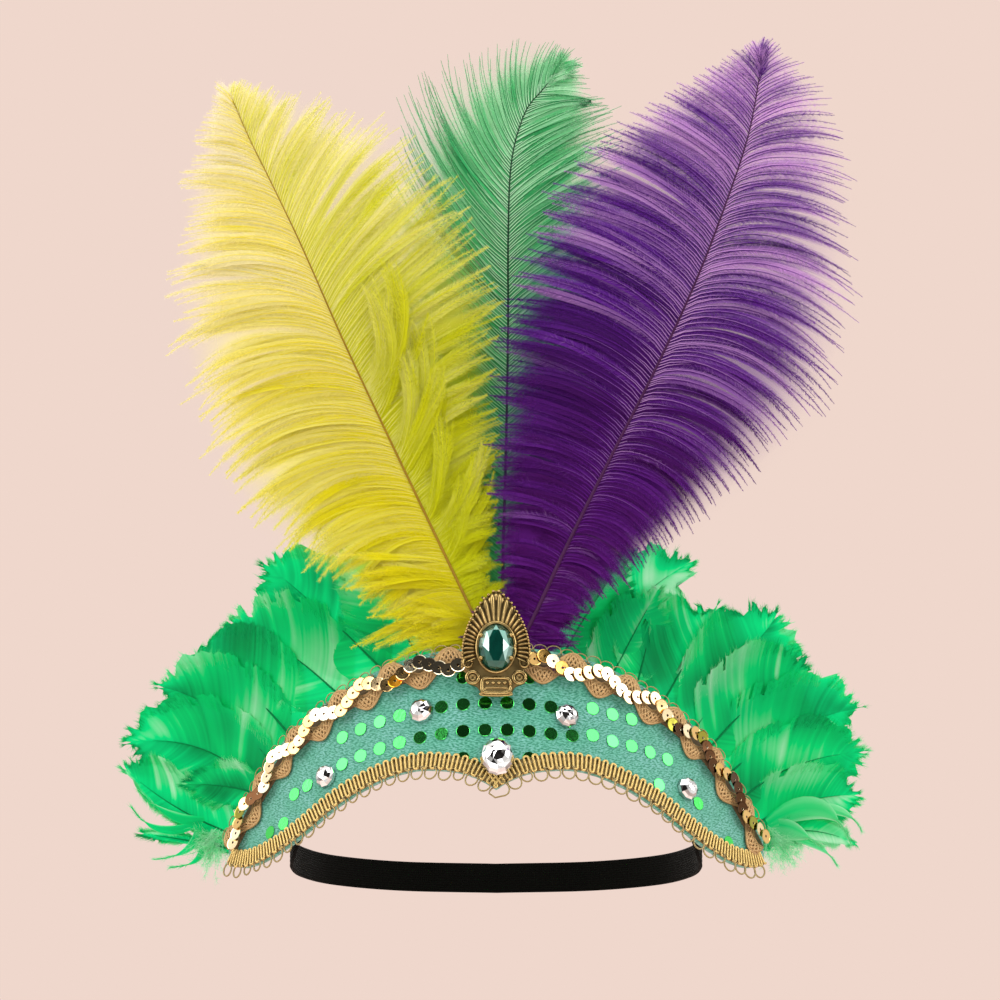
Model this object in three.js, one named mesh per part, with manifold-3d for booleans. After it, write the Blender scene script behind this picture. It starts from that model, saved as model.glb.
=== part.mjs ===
// Carnival feather headdress: a bowed crescent band in sequinned cloth, edged with gold braid,
// set with paste stones and a brooch, with three ostrich plumes, two fans of side feathers and
// an elastic strap that closes the loop behind the head.
// Millimetres. +Z up, +X to the viewer's right, +Y towards the back of the head.
// The origin is the middle of the head opening, at the height of the band's two ends.

import * as THREE from "three";
import { mergeVertices } from "three/addons/utils/BufferGeometryUtils.js";
import Module from "manifold-3d";

const wasm = await Module();
wasm.setup();

// Driving dimensions

const GAP = 0.3; // clearance between pieces that touch

const BAND = {
  frontY: -60, // front face on the centre line, at midZ
  midZ: 48,
  leanDeg: 24, // the front face leans back
  bow: 135, // bend round the forehead: depth = x² / bow
  wall: 2.2, // stiffened cloth
  columns: 52,
  rows: 4,
};

// Right half of the crescent seen from the front: heights of its lower and upper edges.
const BAND_OUTLINE = [
  { x: 0, low: 25.8, high: 72.2 },
  { x: 4, low: 28.2, high: 72.0 },
  { x: 10, low: 30.6, high: 71.4 },
  { x: 18, low: 31.8, high: 70.4 },
  { x: 27, low: 31.6, high: 68.4 },
  { x: 36, low: 29.0, high: 65.2 },
  { x: 46, low: 24.0, high: 60.2 },
  { x: 55, low: 17.8, high: 54.2 },
  { x: 64, low: 10.2, high: 46.8 },
  { x: 73, low: 3.4, high: 37.2 },
  { x: 82, low: -1.2, high: 23.0 },
  { x: 88, low: -1.6, high: 11.6 },
  { x: 91.4, low: 0.6, high: 4.8 },
];
const BAND_HALF = BAND_OUTLINE.at(-1).x;

const TOP_BRAID = {
  inset: 5.4, // from the band's upper edge to the braid's middle
  half: 5.2,
  thick: 1.6,
  wave: 21, // one scallop out and one in
  waveSteps: 8,
  sway: 1.1,
  endHalf: 2.6, // narrower at the band's ends
  fade: 16,
  endClear: 0.4,
};
const LOW_BRAID = { inset: 2.5, half: 2.9, thick: 1.6, reachX: 78, step: 3 };
const SEQUIN = {
  radius: 3.2,
  thick: 0.8,
  pitch: 3.9,
  sway: 2.3,
  tiltDeg: 9,
  sides: 9,
  broochClear: 12.5, // from the centre line to the first sequin
  endClear: 5,
};

const STRAP = { width: 10, thick: 1.2, pitchDeg: 8, sewn: 0.09, stations: 44 };
// Right half of the strap seen from above, from its sewn end to the back of the head.
const STRAP_ROUTE = [
  { x: 59.5, y: -43.0, z: 15.0 },
  { x: 64.8, y: -38.8, z: 11.0 },
  { x: 67.6, y: -30.0, z: 6.0 },
  { x: 68.2, y: -16.0, z: 2.0 },
  { x: 65.0, y: 6.0, z: -1.8 },
  { x: 54.5, y: 32.0, z: -5.5 },
  { x: 32.0, y: 51.5, z: -8.3 },
  { x: 0.0, y: 58.0, z: -9.3 },
];

const STONES = [
  { name: "stone_inner_left", x: -24.6, z: 50.6, across: 7.8, tall: 7.8, high: 3.2, lift: GAP, tiltDeg: 0 },
  { name: "stone_inner_right", x: 23.3, z: 48.9, across: 7.8, tall: 7.8, high: 3.2, lift: GAP, tiltDeg: 0 },
  { name: "stone_outer_left", x: -56.2, z: 28.6, across: 7.4, tall: 7.4, high: 3.0, lift: GAP, tiltDeg: 0 },
  { name: "stone_outer_right", x: 63.2, z: 24.4, across: 7.4, tall: 7.4, high: 3.0, lift: GAP, tiltDeg: 0 },
  { name: "stone_centre_drop", x: 0.4, z: 35.0, across: 11.6, tall: 14.6, high: 4.6, lift: 2.05, tiltDeg: 11 },
];
const STONE_SIDES = 12;
// Half profile of a cut stone, as shares of its radius and height.
const STONE_CUT = [
  { r: 0, h: 0 },
  { r: 1, h: 0 },
  { r: 1, h: 0.2 },
  { r: 0.74, h: 0.68 },
  { r: 0.42, h: 1 },
  { r: 0, h: 1 },
];

const BROOCH = {
  backY: -57.4, // back of the plate at seatZ
  seatZ: 61,
  leanDeg: 14,
  bottomZ: 55.6,
  height: 36,
  plate: 1.5,
  stoneZ: 71.2,
  stoneAcross: 11.6,
  stoneTall: 15.8,
  stoneHigh: 5.2,
  bezelWall: 1.1,
  bezelHigh: 2.6,
  ribs: 15,
  ribSweep: 1.3 * Math.PI,
  ribWide: 0.9,
  ribHigh: 1.0,
  rim: 0.5,
};
// Right half of the brooch plate, heights from its lower end.
const BROOCH_OUTLINE = [
  { x: 0, up: 0 },
  { x: 5.4, up: 0.2 },
  { x: 6.2, up: 2.6 },
  { x: 9.6, up: 4.2 },
  { x: 9.4, up: 8.0 },
  { x: 11.0, up: 11.5 },
  { x: 11.0, up: 17.0 },
  { x: 9.6, up: 23.0 },
  { x: 7.0, up: 28.5 },
  { x: 3.8, up: 33.2 },
  { x: 0, up: 36 },
];

const PLUME = { stations: 17, crowding: 1.25 }; // stations along a plume stand closer at its tip
const SHAFT = { baseRadius: 1.25, tipRadius: 0.45, sides: 8 };
const VANE = {
  across: 4,
  baseThick: 2.1,
  fullThick: 6.4,
  fullAt: 0.35, // share of the plume's length where the vane is at full thickness
  edgeShare: 0.4, // thickness of the outer edge against the middle
  curl: 3, // the vane bends forward this far
  curlReach: 60, // at this reach from the quill
  leastReach: 1.2,
};

// Each plume from its cut end (t = 0) to its tip (t = 1): place of the shaft, and reach of the vane
// on the viewer's left and right.
const PLUMES = {
  purple: {
    color: "#4b1378",
    rows: [
      { t: 0.0, x: 0.2, y: -50.1, z: 58.0, left: 3, right: 3 },
      { t: 0.105, x: 11.3, y: -41.6, z: 79.0, left: 11, right: 11 },
      { t: 0.224, x: 23.0, y: -34.3, z: 103.9, left: 28, right: 26 },
      { t: 0.374, x: 38.7, y: -25.8, z: 135.5, left: 46, right: 42 },
      { t: 0.509, x: 53.2, y: -19.5, z: 164.0, left: 57, right: 55 },
      { t: 0.644, x: 66.7, y: -14.6, z: 193.2, left: 58, right: 57 },
      { t: 0.761, x: 76.9, y: -11.3, z: 219.5, left: 53, right: 48 },
      { t: 0.865, x: 84.7, y: -8.8, z: 243.1, left: 35, right: 32 },
      { t: 0.958, x: 88.8, y: -6.6, z: 265.2, left: 13, right: 13 },
      { t: 1.0, x: 89.8, y: -5.6, z: 275.3, left: 3, right: 3 },
    ],
  },
  yellow: {
    color: "#e6d21c",
    rows: [
      { t: 0.0, x: 1.8, y: -45.4, z: 62.0, left: 3, right: 3 },
      { t: 0.09, x: -6.0, y: -37.6, z: 79.0, left: 18, right: 6 },
      { t: 0.264, x: -22.0, y: -24.0, z: 112.2, left: 43, right: 24 },
      { t: 0.399, x: -34.8, y: -16.2, z: 138.9, left: 57, right: 40 },
      { t: 0.565, x: -50.7, y: -9.4, z: 172.6, left: 57, right: 58 },
      { t: 0.733, x: -66.0, y: -4.2, z: 207.1, left: 49, right: 55 },
      { t: 0.838, x: -76.3, y: -1.6, z: 228.5, left: 36, right: 45 },
      { t: 0.905, x: -83.0, y: -0.2, z: 242.0, left: 25, right: 32 },
      { t: 1.0, x: -91.6, y: 1.6, z: 261.8, left: 3, right: 3 },
    ],
  },
  green: {
    color: "#2f9c63",
    rows: [
      { t: 0.0, x: 2.0, y: -40.2, z: 66.0, left: 3, right: 3 },
      { t: 0.181, x: 2.3, y: -21.6, z: 100.4, left: 18, right: 18 },
      { t: 0.359, x: 3.3, y: -8.6, z: 137.3, left: 33, right: 32 },
      { t: 0.548, x: 4.0, y: 0.4, z: 178.0, left: 42, right: 37 },
      { t: 0.706, x: 4.1, y: 5.2, z: 212.2, left: 44, right: 38 },
      { t: 0.815, x: 5.4, y: 7.8, z: 236.1, left: 40, right: 36 },
      { t: 0.892, x: 10.2, y: 9.2, z: 252.2, left: 33, right: 29 },
      { t: 0.939, x: 16.7, y: 10.0, z: 260.1, left: 24, right: 20 },
      { t: 1.0, x: 24.5, y: 11.0, z: 271.0, left: 3, right: 3 },
    ],
  },
};

// Depth of the side feathers: a slope from a point behind the band, with a step back at its ends.
const FAN = { x: 36, y: -40.3, z: 62, slopeX: 0.56, slopeZ: 0.12, step: 4, stepFrom: 70, stepTo: 92 };
// Oval that follows the band's upper edge, and the span outside it over which the layers part.
const FAN_OVAL = { halfX: 91, halfZ: 72, size: 80, partFrom: -2, partTo: 16 };
const FEATHER = { stations: 9, across: 4, thick: 0.8, edgeThick: 0.4, layer: 1.3, spread: 2.3, cup: 0.7 };
// Side feathers seen from the front: quill end, middle and tip of the spine, widest breadth, and
// layer, counted from the band backwards.
const FEATHERS = [
  { name: "feather_left_1", x0: -86.4, z0: 3.3, x1: -103, z1: 6, x2: -121, z2: 9, wide: 17, layer: 0 },
  { name: "feather_left_2", x0: -83.8, z0: 7.3, x1: -105.9, z1: 16, x2: -125.2, z2: 29.4, wide: 24, layer: 1 },
  { name: "feather_left_3", x0: -77, z0: 20, x1: -97.5, z1: 36, x2: -124.2, z2: 38.4, wide: 30, layer: 2 },
  { name: "feather_left_4", x0: -71.7, z0: 28.4, x1: -90.8, z1: 47.5, x2: -115.2, z2: 57.5, wide: 34, layer: 3 },
  { name: "feather_left_5", x0: -65, z0: 37.4, x1: -85.8, z1: 58.5, x2: -108.5, z2: 68.6, wide: 38, layer: 4 },
  { name: "feather_left_6", x0: -48.2, z0: 51.8, x1: -69, z1: 68.6, x2: -93.8, z2: 79.6, wide: 40, layer: 5 },
  { name: "feather_left_7", x0: -34.8, z0: 60.9, x1: -55.6, z1: 80.3, x2: -77, z2: 98.4, wide: 32, layer: 6 },
  { name: "feather_right_1", x0: 85.8, z0: 3.3, x1: 101.8, z1: 9.3, x2: 121.3, z2: 4.6, wide: 18, layer: 0 },
  { name: "feather_right_2", x0: 82.4, z0: 9.3, x1: 101.8, z1: 18.3, x2: 121.3, z2: 20.7, wide: 22, layer: 1 },
  { name: "feather_right_3", x0: 77.7, z0: 16.7, x1: 98.5, z1: 30, x2: 123.3, z2: 35, wide: 28, layer: 2 },
  { name: "feather_right_4", x0: 73.7, z0: 25, x1: 96.8, z1: 41.8, x2: 122, z2: 49.5, wide: 32, layer: 3 },
  { name: "feather_right_5", x0: 68.3, z0: 34.4, x1: 88.4, z1: 53.5, x2: 107.2, z2: 62.9, wide: 34, layer: 4 },
  { name: "feather_right_6", x0: 63, z0: 40, x1: 81.7, z1: 63.5, x2: 99.2, z2: 84.3, wide: 36, layer: 5 },
  { name: "feather_right_7", x0: 53.3, z0: 49.5, x1: 65, z1: 68.6, x2: 75.7, z2: 86.3, wide: 36, layer: 6 },
  { name: "feather_right_8", x0: 45.6, z0: 56.2, x1: 50, z1: 70.3, x2: 53.3, z2: 86.3, wide: 22, layer: 7 },
  { name: "feather_right_9", x0: 34.2, z0: 62.9, x1: 43.2, z1: 82, x2: 65.7, z2: 99.7, wide: 30, layer: 8 },
];
// Breadth of a side feather along its spine, as a share of its widest.
const FEATHER_FORM = [
  { t: 0, share: 0.06 },
  { t: 0.12, share: 0.36 },
  { t: 0.32, share: 0.84 },
  { t: 0.6, share: 1 },
  { t: 0.82, share: 0.84 },
  { t: 0.94, share: 0.5 },
  { t: 1, share: 0.1 },
];

// Finishes

const finish = (color, roughness, metalness) =>
  new THREE.MeshStandardMaterial({ color, roughness, metalness });
const CLOTH = finish("#4aa890", 0.75, 0);
const BRAID = finish("#b0883f", 0.45, 0.7);
const SEQUIN_GOLD = finish("#e8cf86", 0.18, 1);
const BRASS = finish("#8a7040", 0.35, 1);
const CRYSTAL = finish("#d9dde2", 0.05, 0.2);
const EMERALD = finish("#0c4a3a", 0.05, 0.1);
const ELASTIC = finish("#111010", 0.85, 0);
const QUILL = finish("#8a6a24", 0.5, 0);
const SIDE_FEATHER = finish("#0cb863", 0.7, 0);

// Shared geometry helpers

const tanLean = Math.tan(THREE.MathUtils.degToRad(BAND.leanDeg));
const lerp = THREE.MathUtils.lerp;

// Smooth value of one column of a table at a key, by cubic Hermite spans.
function fromTable(rows, keyName, column, key) {
  let i = 0;
  while (i < rows.length - 2 && key > rows[i + 1][keyName]) i++;
  const slope = (j) => {
    const a = rows[Math.max(j - 1, 0)];
    const b = rows[Math.min(j + 1, rows.length - 1)];
    return (b[column] - a[column]) / (b[keyName] - a[keyName]);
  };
  const [p, q] = [rows[i], rows[i + 1]];
  const span = q[keyName] - p[keyName];
  const s = THREE.MathUtils.clamp((key - p[keyName]) / span, 0, 1);
  const s2 = s * s;
  const s3 = s2 * s;
  return (
    (2 * s3 - 3 * s2 + 1) * p[column] +
    (s3 - 2 * s2 + s) * span * slope(i) +
    (3 * s2 - 2 * s3) * q[column] +
    (s3 - s2) * span * slope(i + 1)
  );
}

// Closed solid through a row of rings. A ring runs out along one face and back along the other,
// so its points pair up across the wall, and the end rings are closed between those pairs.
function loft(rings) {
  const size = rings[0].length;
  const positions = rings.flat().flatMap((p) => [p.x, p.y, p.z]);
  const index = [];
  for (let r = 0; r < rings.length - 1; r++) {
    for (let i = 0; i < size; i++) {
      const a = r * size + i;
      const b = r * size + ((i + 1) % size);
      index.push(a, b, b + size, a, b + size, a + size);
    }
  }
  const last = (rings.length - 1) * size;
  for (let i = 0; i < size / 2 - 1; i++) {
    const [a, b, c, d] = [i, i + 1, size - 2 - i, size - 1 - i];
    index.push(a, c, b, a, d, c);
    index.push(last + a, last + b, last + c, last + a, last + c, last + d);
  }
  const geometry = new THREE.BufferGeometry();
  geometry.setAttribute("position", new THREE.Float32BufferAttribute(positions, 3));
  geometry.setIndex(facingOut(positions, index));
  geometry.computeVertexNormals();
  return geometry;
}

// The triangles turned round if together they enclose a negative volume.
function facingOut(positions, index) {
  const at = (i) => new THREE.Vector3().fromArray(positions, 3 * i);
  let volume = 0;
  for (let i = 0; i < index.length; i += 3) {
    const [a, b, c] = [at(index[i]), at(index[i + 1]), at(index[i + 2])];
    volume += a.dot(b.cross(c));
  }
  return volume < 0 ? index.reverse() : index;
}

// A row of sheet points with a thickness at each, as one ring.
function ringOf(points, normals, thicknesses) {
  const side = (sign) =>
    points.map((p, i) => p.clone().addScaledVector(normals[i], (sign * thicknesses[i]) / 2));
  return [...side(1), ...side(-1).reverse()];
}

function solidFrom(geometry) {
  const bare = geometry.clone();
  bare.deleteAttribute("normal");
  bare.deleteAttribute("uv");
  const merged = mergeVertices(bare, 1e-4);
  return new wasm.Manifold(
    new wasm.Mesh({
      numProp: 3,
      vertProperties: new Float32Array(merged.attributes.position.array),
      triVerts: new Uint32Array(merged.index.array),
    }),
  );
}

function geometryFrom(solid) {
  const mesh = solid.getMesh();
  const geometry = new THREE.BufferGeometry();
  geometry.setAttribute("position", new THREE.BufferAttribute(mesh.vertProperties, 3));
  geometry.setIndex(new THREE.BufferAttribute(mesh.triVerts, 1));
  geometry.computeVertexNormals();
  return geometry;
}

const joined = (geometries) =>
  geometryFrom(geometries.map(solidFrom).reduce((whole, next) => whole.add(next)));

const headdress = new THREE.Group();

function addPiece(name, geometry, material) {
  const mesh = new THREE.Mesh(geometry, material);
  mesh.name = name;
  headdress.add(mesh);
  return mesh;
}

// The band's front face

const edgeHeight = (edge, x) => fromTable(BAND_OUTLINE, "x", edge, Math.abs(x));

function bandNormal(x) {
  return new THREE.Vector3((2 * x) / BAND.bow, -1, tanLean).normalize();
}

// Point of the front face at x and z, lifted along the face's normal.
function bandPoint(x, z, lift = 0) {
  const y = BAND.frontY + (x * x) / BAND.bow + tanLean * (z - BAND.midZ);
  return new THREE.Vector3(x, y, z).addScaledVector(bandNormal(x), lift);
}

// One edge of the crescent as a line with even steps along it.
function edgeLine(edge, reachX) {
  const samples = 400;
  const step = 0.6; // either side of a point, for its direction
  const points = [];
  for (let i = 0; i <= samples; i++) {
    const x = lerp(-reachX, reachX, i / samples);
    points.push(bandPoint(x, edgeHeight(edge, x)));
  }
  const along = [0];
  for (let i = 1; i <= samples; i++) along.push(along[i - 1] + points[i].distanceTo(points[i - 1]));
  const length = along[samples];
  const at = (s) => {
    let i = 0;
    while (i < samples - 1 && along[i + 1] < s) i++;
    return points[i].clone().lerp(points[i + 1], (s - along[i]) / (along[i + 1] - along[i]));
  };
  // Point at a distance along the edge, moved into the band by inset and off its face by lift.
  const point = (s, inset, lift) => {
    const ahead = at(Math.min(s + step, length));
    const behind = at(Math.max(s - step, 0));
    const here = at(s);
    const inward = new THREE.Vector3()
      .crossVectors(ahead.sub(behind).normalize(), bandNormal(here.x))
      .multiplyScalar(edge === "high" ? 1 : -1);
    here.addScaledVector(inward, inset);
    return bandPoint(here.x, here.z, lift);
  };
  return { length, point };
}

const topEdge = edgeLine("high", BAND_HALF - TOP_BRAID.endClear);
const lowEdge = edgeLine("low", LOW_BRAID.reachX);

// Band

function bandGeometry() {
  const rings = [];
  for (let c = 0; c <= BAND.columns; c++) {
    const x = lerp(-BAND_HALF, BAND_HALF, c / BAND.columns);
    const points = [];
    for (let r = 0; r <= BAND.rows; r++) {
      const z = lerp(edgeHeight("low", x), edgeHeight("high", x), r / BAND.rows);
      points.push(bandPoint(x, z, -BAND.wall / 2));
    }
    const normals = points.map(() => bandNormal(x));
    rings.push(ringOf(points, normals, points.map(() => BAND.wall)));
  }
  return loft(rings);
}

addPiece("band", bandGeometry(), CLOTH);

// Gold braids

// Distance of the top braid's middle from the upper edge, with the sway of its scallops.
function braidInset(s, sway) {
  const phase = ((s - topEdge.length / 2) / TOP_BRAID.wave) * 2 * Math.PI;
  return TOP_BRAID.inset + sway * Math.sin(phase);
}

function braidHalf(s) {
  const toEnd = Math.min(s, topEdge.length - s);
  return lerp(TOP_BRAID.endHalf, TOP_BRAID.half, Math.min(1, toEnd / TOP_BRAID.fade));
}

function braidRing(edge, s, inset, half, thick) {
  const corner = (across, lift) => edge.point(s, inset + across, lift);
  const top = GAP + thick;
  return [corner(-half, top), corner(half, top), corner(half, GAP), corner(-half, GAP)];
}

function topBraidGeometry() {
  const stations = Math.round((topEdge.length / TOP_BRAID.wave) * TOP_BRAID.waveSteps);
  const rings = [];
  for (let i = 0; i <= stations; i++) {
    const s = (topEdge.length * i) / stations;
    const half = braidHalf(s);
    const inset = braidInset(s, TOP_BRAID.sway) - (TOP_BRAID.half - half);
    rings.push(braidRing(topEdge, s, inset, half, TOP_BRAID.thick));
  }
  return loft(rings);
}

function lowBraidGeometry() {
  const stations = 2 * Math.round(lowEdge.length / LOW_BRAID.step / 2);
  const rings = [];
  for (let i = 0; i <= stations; i++) {
    const s = (lowEdge.length * i) / stations;
    rings.push(braidRing(lowEdge, s, LOW_BRAID.inset, LOW_BRAID.half, LOW_BRAID.thick));
  }
  return loft(rings);
}

addPiece("braid_top", topBraidGeometry(), BRAID);
addPiece("braid_low", lowBraidGeometry(), BRAID);

// Sequins sewn in a wave along the top braid, each lapping the next on one thread

function sequinGeometry(s) {
  const lift = GAP + TOP_BRAID.thick + GAP + SEQUIN.thick;
  const centre = topEdge.point(s, braidInset(s, SEQUIN.sway), lift);
  const ahead = topEdge.point(s + 1, braidInset(s + 1, SEQUIN.sway), lift).sub(centre).normalize();
  const normal = bandNormal(centre.x);
  const across = new THREE.Vector3().crossVectors(ahead, normal).normalize();
  const tilt = THREE.MathUtils.degToRad(SEQUIN.tiltDeg);
  const axis = normal.applyAxisAngle(across, tilt);
  const geometry = new THREE.CylinderGeometry(SEQUIN.radius, SEQUIN.radius, SEQUIN.thick, SEQUIN.sides);
  const turn = new THREE.Quaternion().setFromUnitVectors(new THREE.Vector3(0, 1, 0), axis);
  return geometry.applyQuaternion(turn).translate(centre.x, centre.y, centre.z);
}

function sequinChain(side) {
  const middle = topEdge.length / 2;
  const count = Math.floor((middle - SEQUIN.broochClear - SEQUIN.endClear) / SEQUIN.pitch);
  const geometries = [];
  for (let i = 0; i <= count; i++) {
    geometries.push(sequinGeometry(middle + side * (SEQUIN.broochClear + i * SEQUIN.pitch)));
  }
  return joined(geometries);
}

addPiece("sequins_left", sequinChain(-1), SEQUIN_GOLD);
addPiece("sequins_right", sequinChain(1), SEQUIN_GOLD);

// Paste stones, glued flat to the band

function stoneGeometry(across, tall, high) {
  const profile = STONE_CUT.map(({ r, h }) => new THREE.Vector2(r / 2, h * high));
  const geometry = new THREE.LatheGeometry(profile, STONE_SIDES);
  geometry.rotateX(Math.PI / 2);
  return geometry.scale(across, tall, 1);
}

// Turns a piece so that its +Z is the given direction and its +Y stays as upright as it can.
function faceAlong(mesh, direction) {
  const right = new THREE.Vector3(0, 0, 1).cross(direction).normalize();
  const up = new THREE.Vector3().crossVectors(direction, right);
  mesh.quaternion.setFromRotationMatrix(new THREE.Matrix4().makeBasis(right, up, direction));
}

for (const stone of STONES) {
  const mesh = addPiece(stone.name, stoneGeometry(stone.across, stone.tall, stone.high), CRYSTAL);
  const tilt = THREE.MathUtils.degToRad(stone.tiltDeg);
  const facing = bandNormal(stone.x).applyAxisAngle(new THREE.Vector3(-1, 0, 0), tilt);
  mesh.position.copy(bandPoint(stone.x, stone.z, stone.lift));
  faceAlong(mesh, facing);
}

// Brooch: a cast plate with a ribbed dish and a bezel, and its oval stone

function broochOutline() {
  const right = BROOCH_OUTLINE.slice(1).map(({ x, up }) => new THREE.Vector2(x, up));
  const left = BROOCH_OUTLINE.slice(1, -1).map(({ x, up }) => new THREE.Vector2(-x, up));
  return new THREE.Shape([...right, ...left.reverse()]);
}

function bezelGeometry() {
  const ring = new THREE.Shape();
  const [a, b] = [BROOCH.stoneAcross / 2 + GAP, BROOCH.stoneTall / 2 + GAP];
  ring.absellipse(0, 0, a + BROOCH.bezelWall, b + BROOCH.bezelWall, 0, 2 * Math.PI);
  const hole = new THREE.Path();
  hole.absellipse(0, 0, a, b, 0, 2 * Math.PI);
  ring.holes.push(hole);
  const depth = BROOCH.plate + BROOCH.bezelHigh;
  return new THREE.ExtrudeGeometry(ring, { depth, bevelEnabled: false, curveSegments: 9 });
}

// One rib of the dish, from the bezel out to the rim of the plate.
function ribGeometry(angle, centreUp) {
  const wall = GAP + BROOCH.bezelWall / 2;
  const [a, b] = [BROOCH.stoneAcross / 2 + wall, BROOCH.stoneTall / 2 + wall];
  const inner = (a * b) / Math.hypot(b * Math.cos(angle), a * Math.sin(angle));
  const outer = ribReach(angle, centreUp);
  const rib = new THREE.BoxGeometry(outer - inner, BROOCH.ribWide, BROOCH.plate + BROOCH.ribHigh);
  rib.translate((inner + outer) / 2, 0, (BROOCH.plate + BROOCH.ribHigh) / 2);
  return rib.rotateZ(angle);
}

// Distance from the stone's centre to the plate's rim along one direction, less a margin.
function ribReach(angle, centreUp) {
  const step = 0.1;
  for (let r = BROOCH.height / 2; r > 0; r -= step) {
    const up = centreUp + r * Math.sin(angle);
    const x = Math.abs(r * Math.cos(angle));
    if (up > 0 && up < BROOCH.height && x < plateHalf(up)) return r - BROOCH.rim;
  }
  return 0;
}

const plateHalf = (up) => fromTable(BROOCH_OUTLINE, "up", "x", up);

function broochGroup() {
  const group = new THREE.Group();
  const lean = THREE.MathUtils.degToRad(BROOCH.leanDeg);
  const rise = (BROOCH.bottomZ - BROOCH.seatZ) * Math.tan(lean);
  group.position.set(0, BROOCH.backY + rise, BROOCH.bottomZ);
  group.rotation.x = Math.PI / 2 - lean;
  const centreUp = (BROOCH.stoneZ - BROOCH.bottomZ) / Math.cos(lean);

  const plate = new THREE.ExtrudeGeometry(broochOutline(), { depth: BROOCH.plate, bevelEnabled: false });
  const bezel = bezelGeometry().translate(0, centreUp, 0);
  const start = Math.PI / 2 - BROOCH.ribSweep / 2;
  const ribs = [];
  for (let i = 0; i < BROOCH.ribs; i++) {
    const angle = start + (BROOCH.ribSweep * i) / (BROOCH.ribs - 1);
    ribs.push(ribGeometry(angle, centreUp).translate(0, centreUp, 0));
  }
  const setting = addPiece("brooch_setting", joined([plate, bezel, ...ribs]), BRASS);
  const stone = addPiece(
    "brooch_stone",
    stoneGeometry(BROOCH.stoneAcross, BROOCH.stoneTall, BROOCH.stoneHigh),
    EMERALD,
  );
  stone.position.set(0, centreUp, BROOCH.plate + GAP);
  group.add(setting, stone);
  return group;
}

headdress.add(broochGroup());

// Elastic strap

function strapPoint(share) {
  const half = share <= 0.5 ? share * 2 : (1 - share) * 2;
  const keyed = STRAP_ROUTE.map((row, i) => ({ ...row, t: i / (STRAP_ROUTE.length - 1) }));
  const value = (column) => fromTable(keyed, "t", column, half);
  const sign = share <= 0.5 ? -1 : 1;
  return new THREE.Vector3(sign * value("x"), value("y"), value("z"));
}

// Across the strap: with the band's lean where it is sewn on, then nearly upright.
function strapUp(share) {
  const free = Math.min(1, Math.min(share, 1 - share) / STRAP.sewn);
  const lean = THREE.MathUtils.degToRad(lerp(BAND.leanDeg, STRAP.pitchDeg, free));
  return new THREE.Vector3(0, Math.sin(lean), Math.cos(lean));
}

function strapGeometry() {
  const rings = [];
  for (let i = 0; i <= STRAP.stations; i++) {
    const share = i / STRAP.stations;
    const here = strapPoint(share);
    const up = strapUp(share);
    const step = 0.005;
    const ahead = strapPoint(Math.min(share + step, 1));
    const along = ahead.sub(strapPoint(Math.max(share - step, 0)));
    const normal = new THREE.Vector3().crossVectors(along, up).normalize();
    const edge = (sign) => here.clone().addScaledVector(up, (sign * STRAP.width) / 2);
    rings.push(ringOf([edge(1), edge(-1)], [normal, normal], [STRAP.thick, STRAP.thick]));
  }
  return loft(rings);
}

addPiece("elastic_strap", strapGeometry(), ELASTIC);

// Plumes: a quill and a vane on each side of it

const plumeValue = (rows, column, t) => fromTable(rows, "t", column, t);

function plumeStations() {
  const even = [...Array(PLUME.stations + 1).keys()].map((i) => i / PLUME.stations);
  return even.map((share) => 1 - (1 - share) ** PLUME.crowding);
}

function shaftPoint(rows, t) {
  const value = (column) => plumeValue(rows, column, t);
  return new THREE.Vector3(value("x"), value("y"), value("z"));
}

function shaftDirection(rows, t) {
  const step = 0.01;
  const ahead = shaftPoint(rows, Math.min(t + step, 1));
  return ahead.sub(shaftPoint(rows, Math.max(t - step, 0))).normalize();
}

const shaftRadius = (t) => lerp(SHAFT.baseRadius, SHAFT.tipRadius, t);

// Across the plume to the viewer's right, square to the quill and in its leaning plane.
function plumeAcross(rows, t) {
  const along = shaftDirection(rows, t);
  const forward = new THREE.Vector3(0, -along.z, along.y);
  return new THREE.Vector3().crossVectors(along, forward).normalize();
}

function shaftGeometry(rows) {
  const rings = [];
  for (const t of plumeStations()) {
    const here = shaftPoint(rows, t);
    const across = plumeAcross(rows, t);
    const depth = new THREE.Vector3().crossVectors(shaftDirection(rows, t), across).normalize();
    const ring = [];
    for (let k = 0; k < SHAFT.sides; k++) {
      const angle = (2 * Math.PI * k) / SHAFT.sides;
      const out = across.clone().multiplyScalar(Math.cos(angle)).addScaledVector(depth, Math.sin(angle));
      ring.push(here.clone().addScaledVector(out, shaftRadius(t)));
    }
    rings.push(ring);
  }
  return loft(rings);
}

function vaneGeometry(rows, sideName) {
  const sign = sideName === "right" ? 1 : -1;
  const rings = [];
  for (const t of plumeStations()) {
    const here = shaftPoint(rows, t);
    const across = plumeAcross(rows, t);
    const depth = new THREE.Vector3().crossVectors(across, shaftDirection(rows, t)).normalize();
    const front = depth.y > 0 ? depth.negate() : depth;
    const inner = shaftRadius(t) + GAP;
    const outer = Math.max(plumeValue(rows, sideName, t), inner + VANE.leastReach);
    const full = lerp(VANE.baseThick, VANE.fullThick, Math.min(1, t / VANE.fullAt));
    const points = [];
    const thicknesses = [];
    for (let k = 0; k <= VANE.across; k++) {
      const share = k / VANE.across;
      const reach = lerp(inner, outer, share);
      const curl = VANE.curl * (reach / VANE.curlReach) ** 2;
      points.push(here.clone().addScaledVector(across, sign * reach).addScaledVector(front, curl));
      thicknesses.push(full * lerp(1, VANE.edgeShare, share * share));
    }
    rings.push(ringOf(points, points.map(() => front), thicknesses));
  }
  return loft(rings);
}

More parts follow.
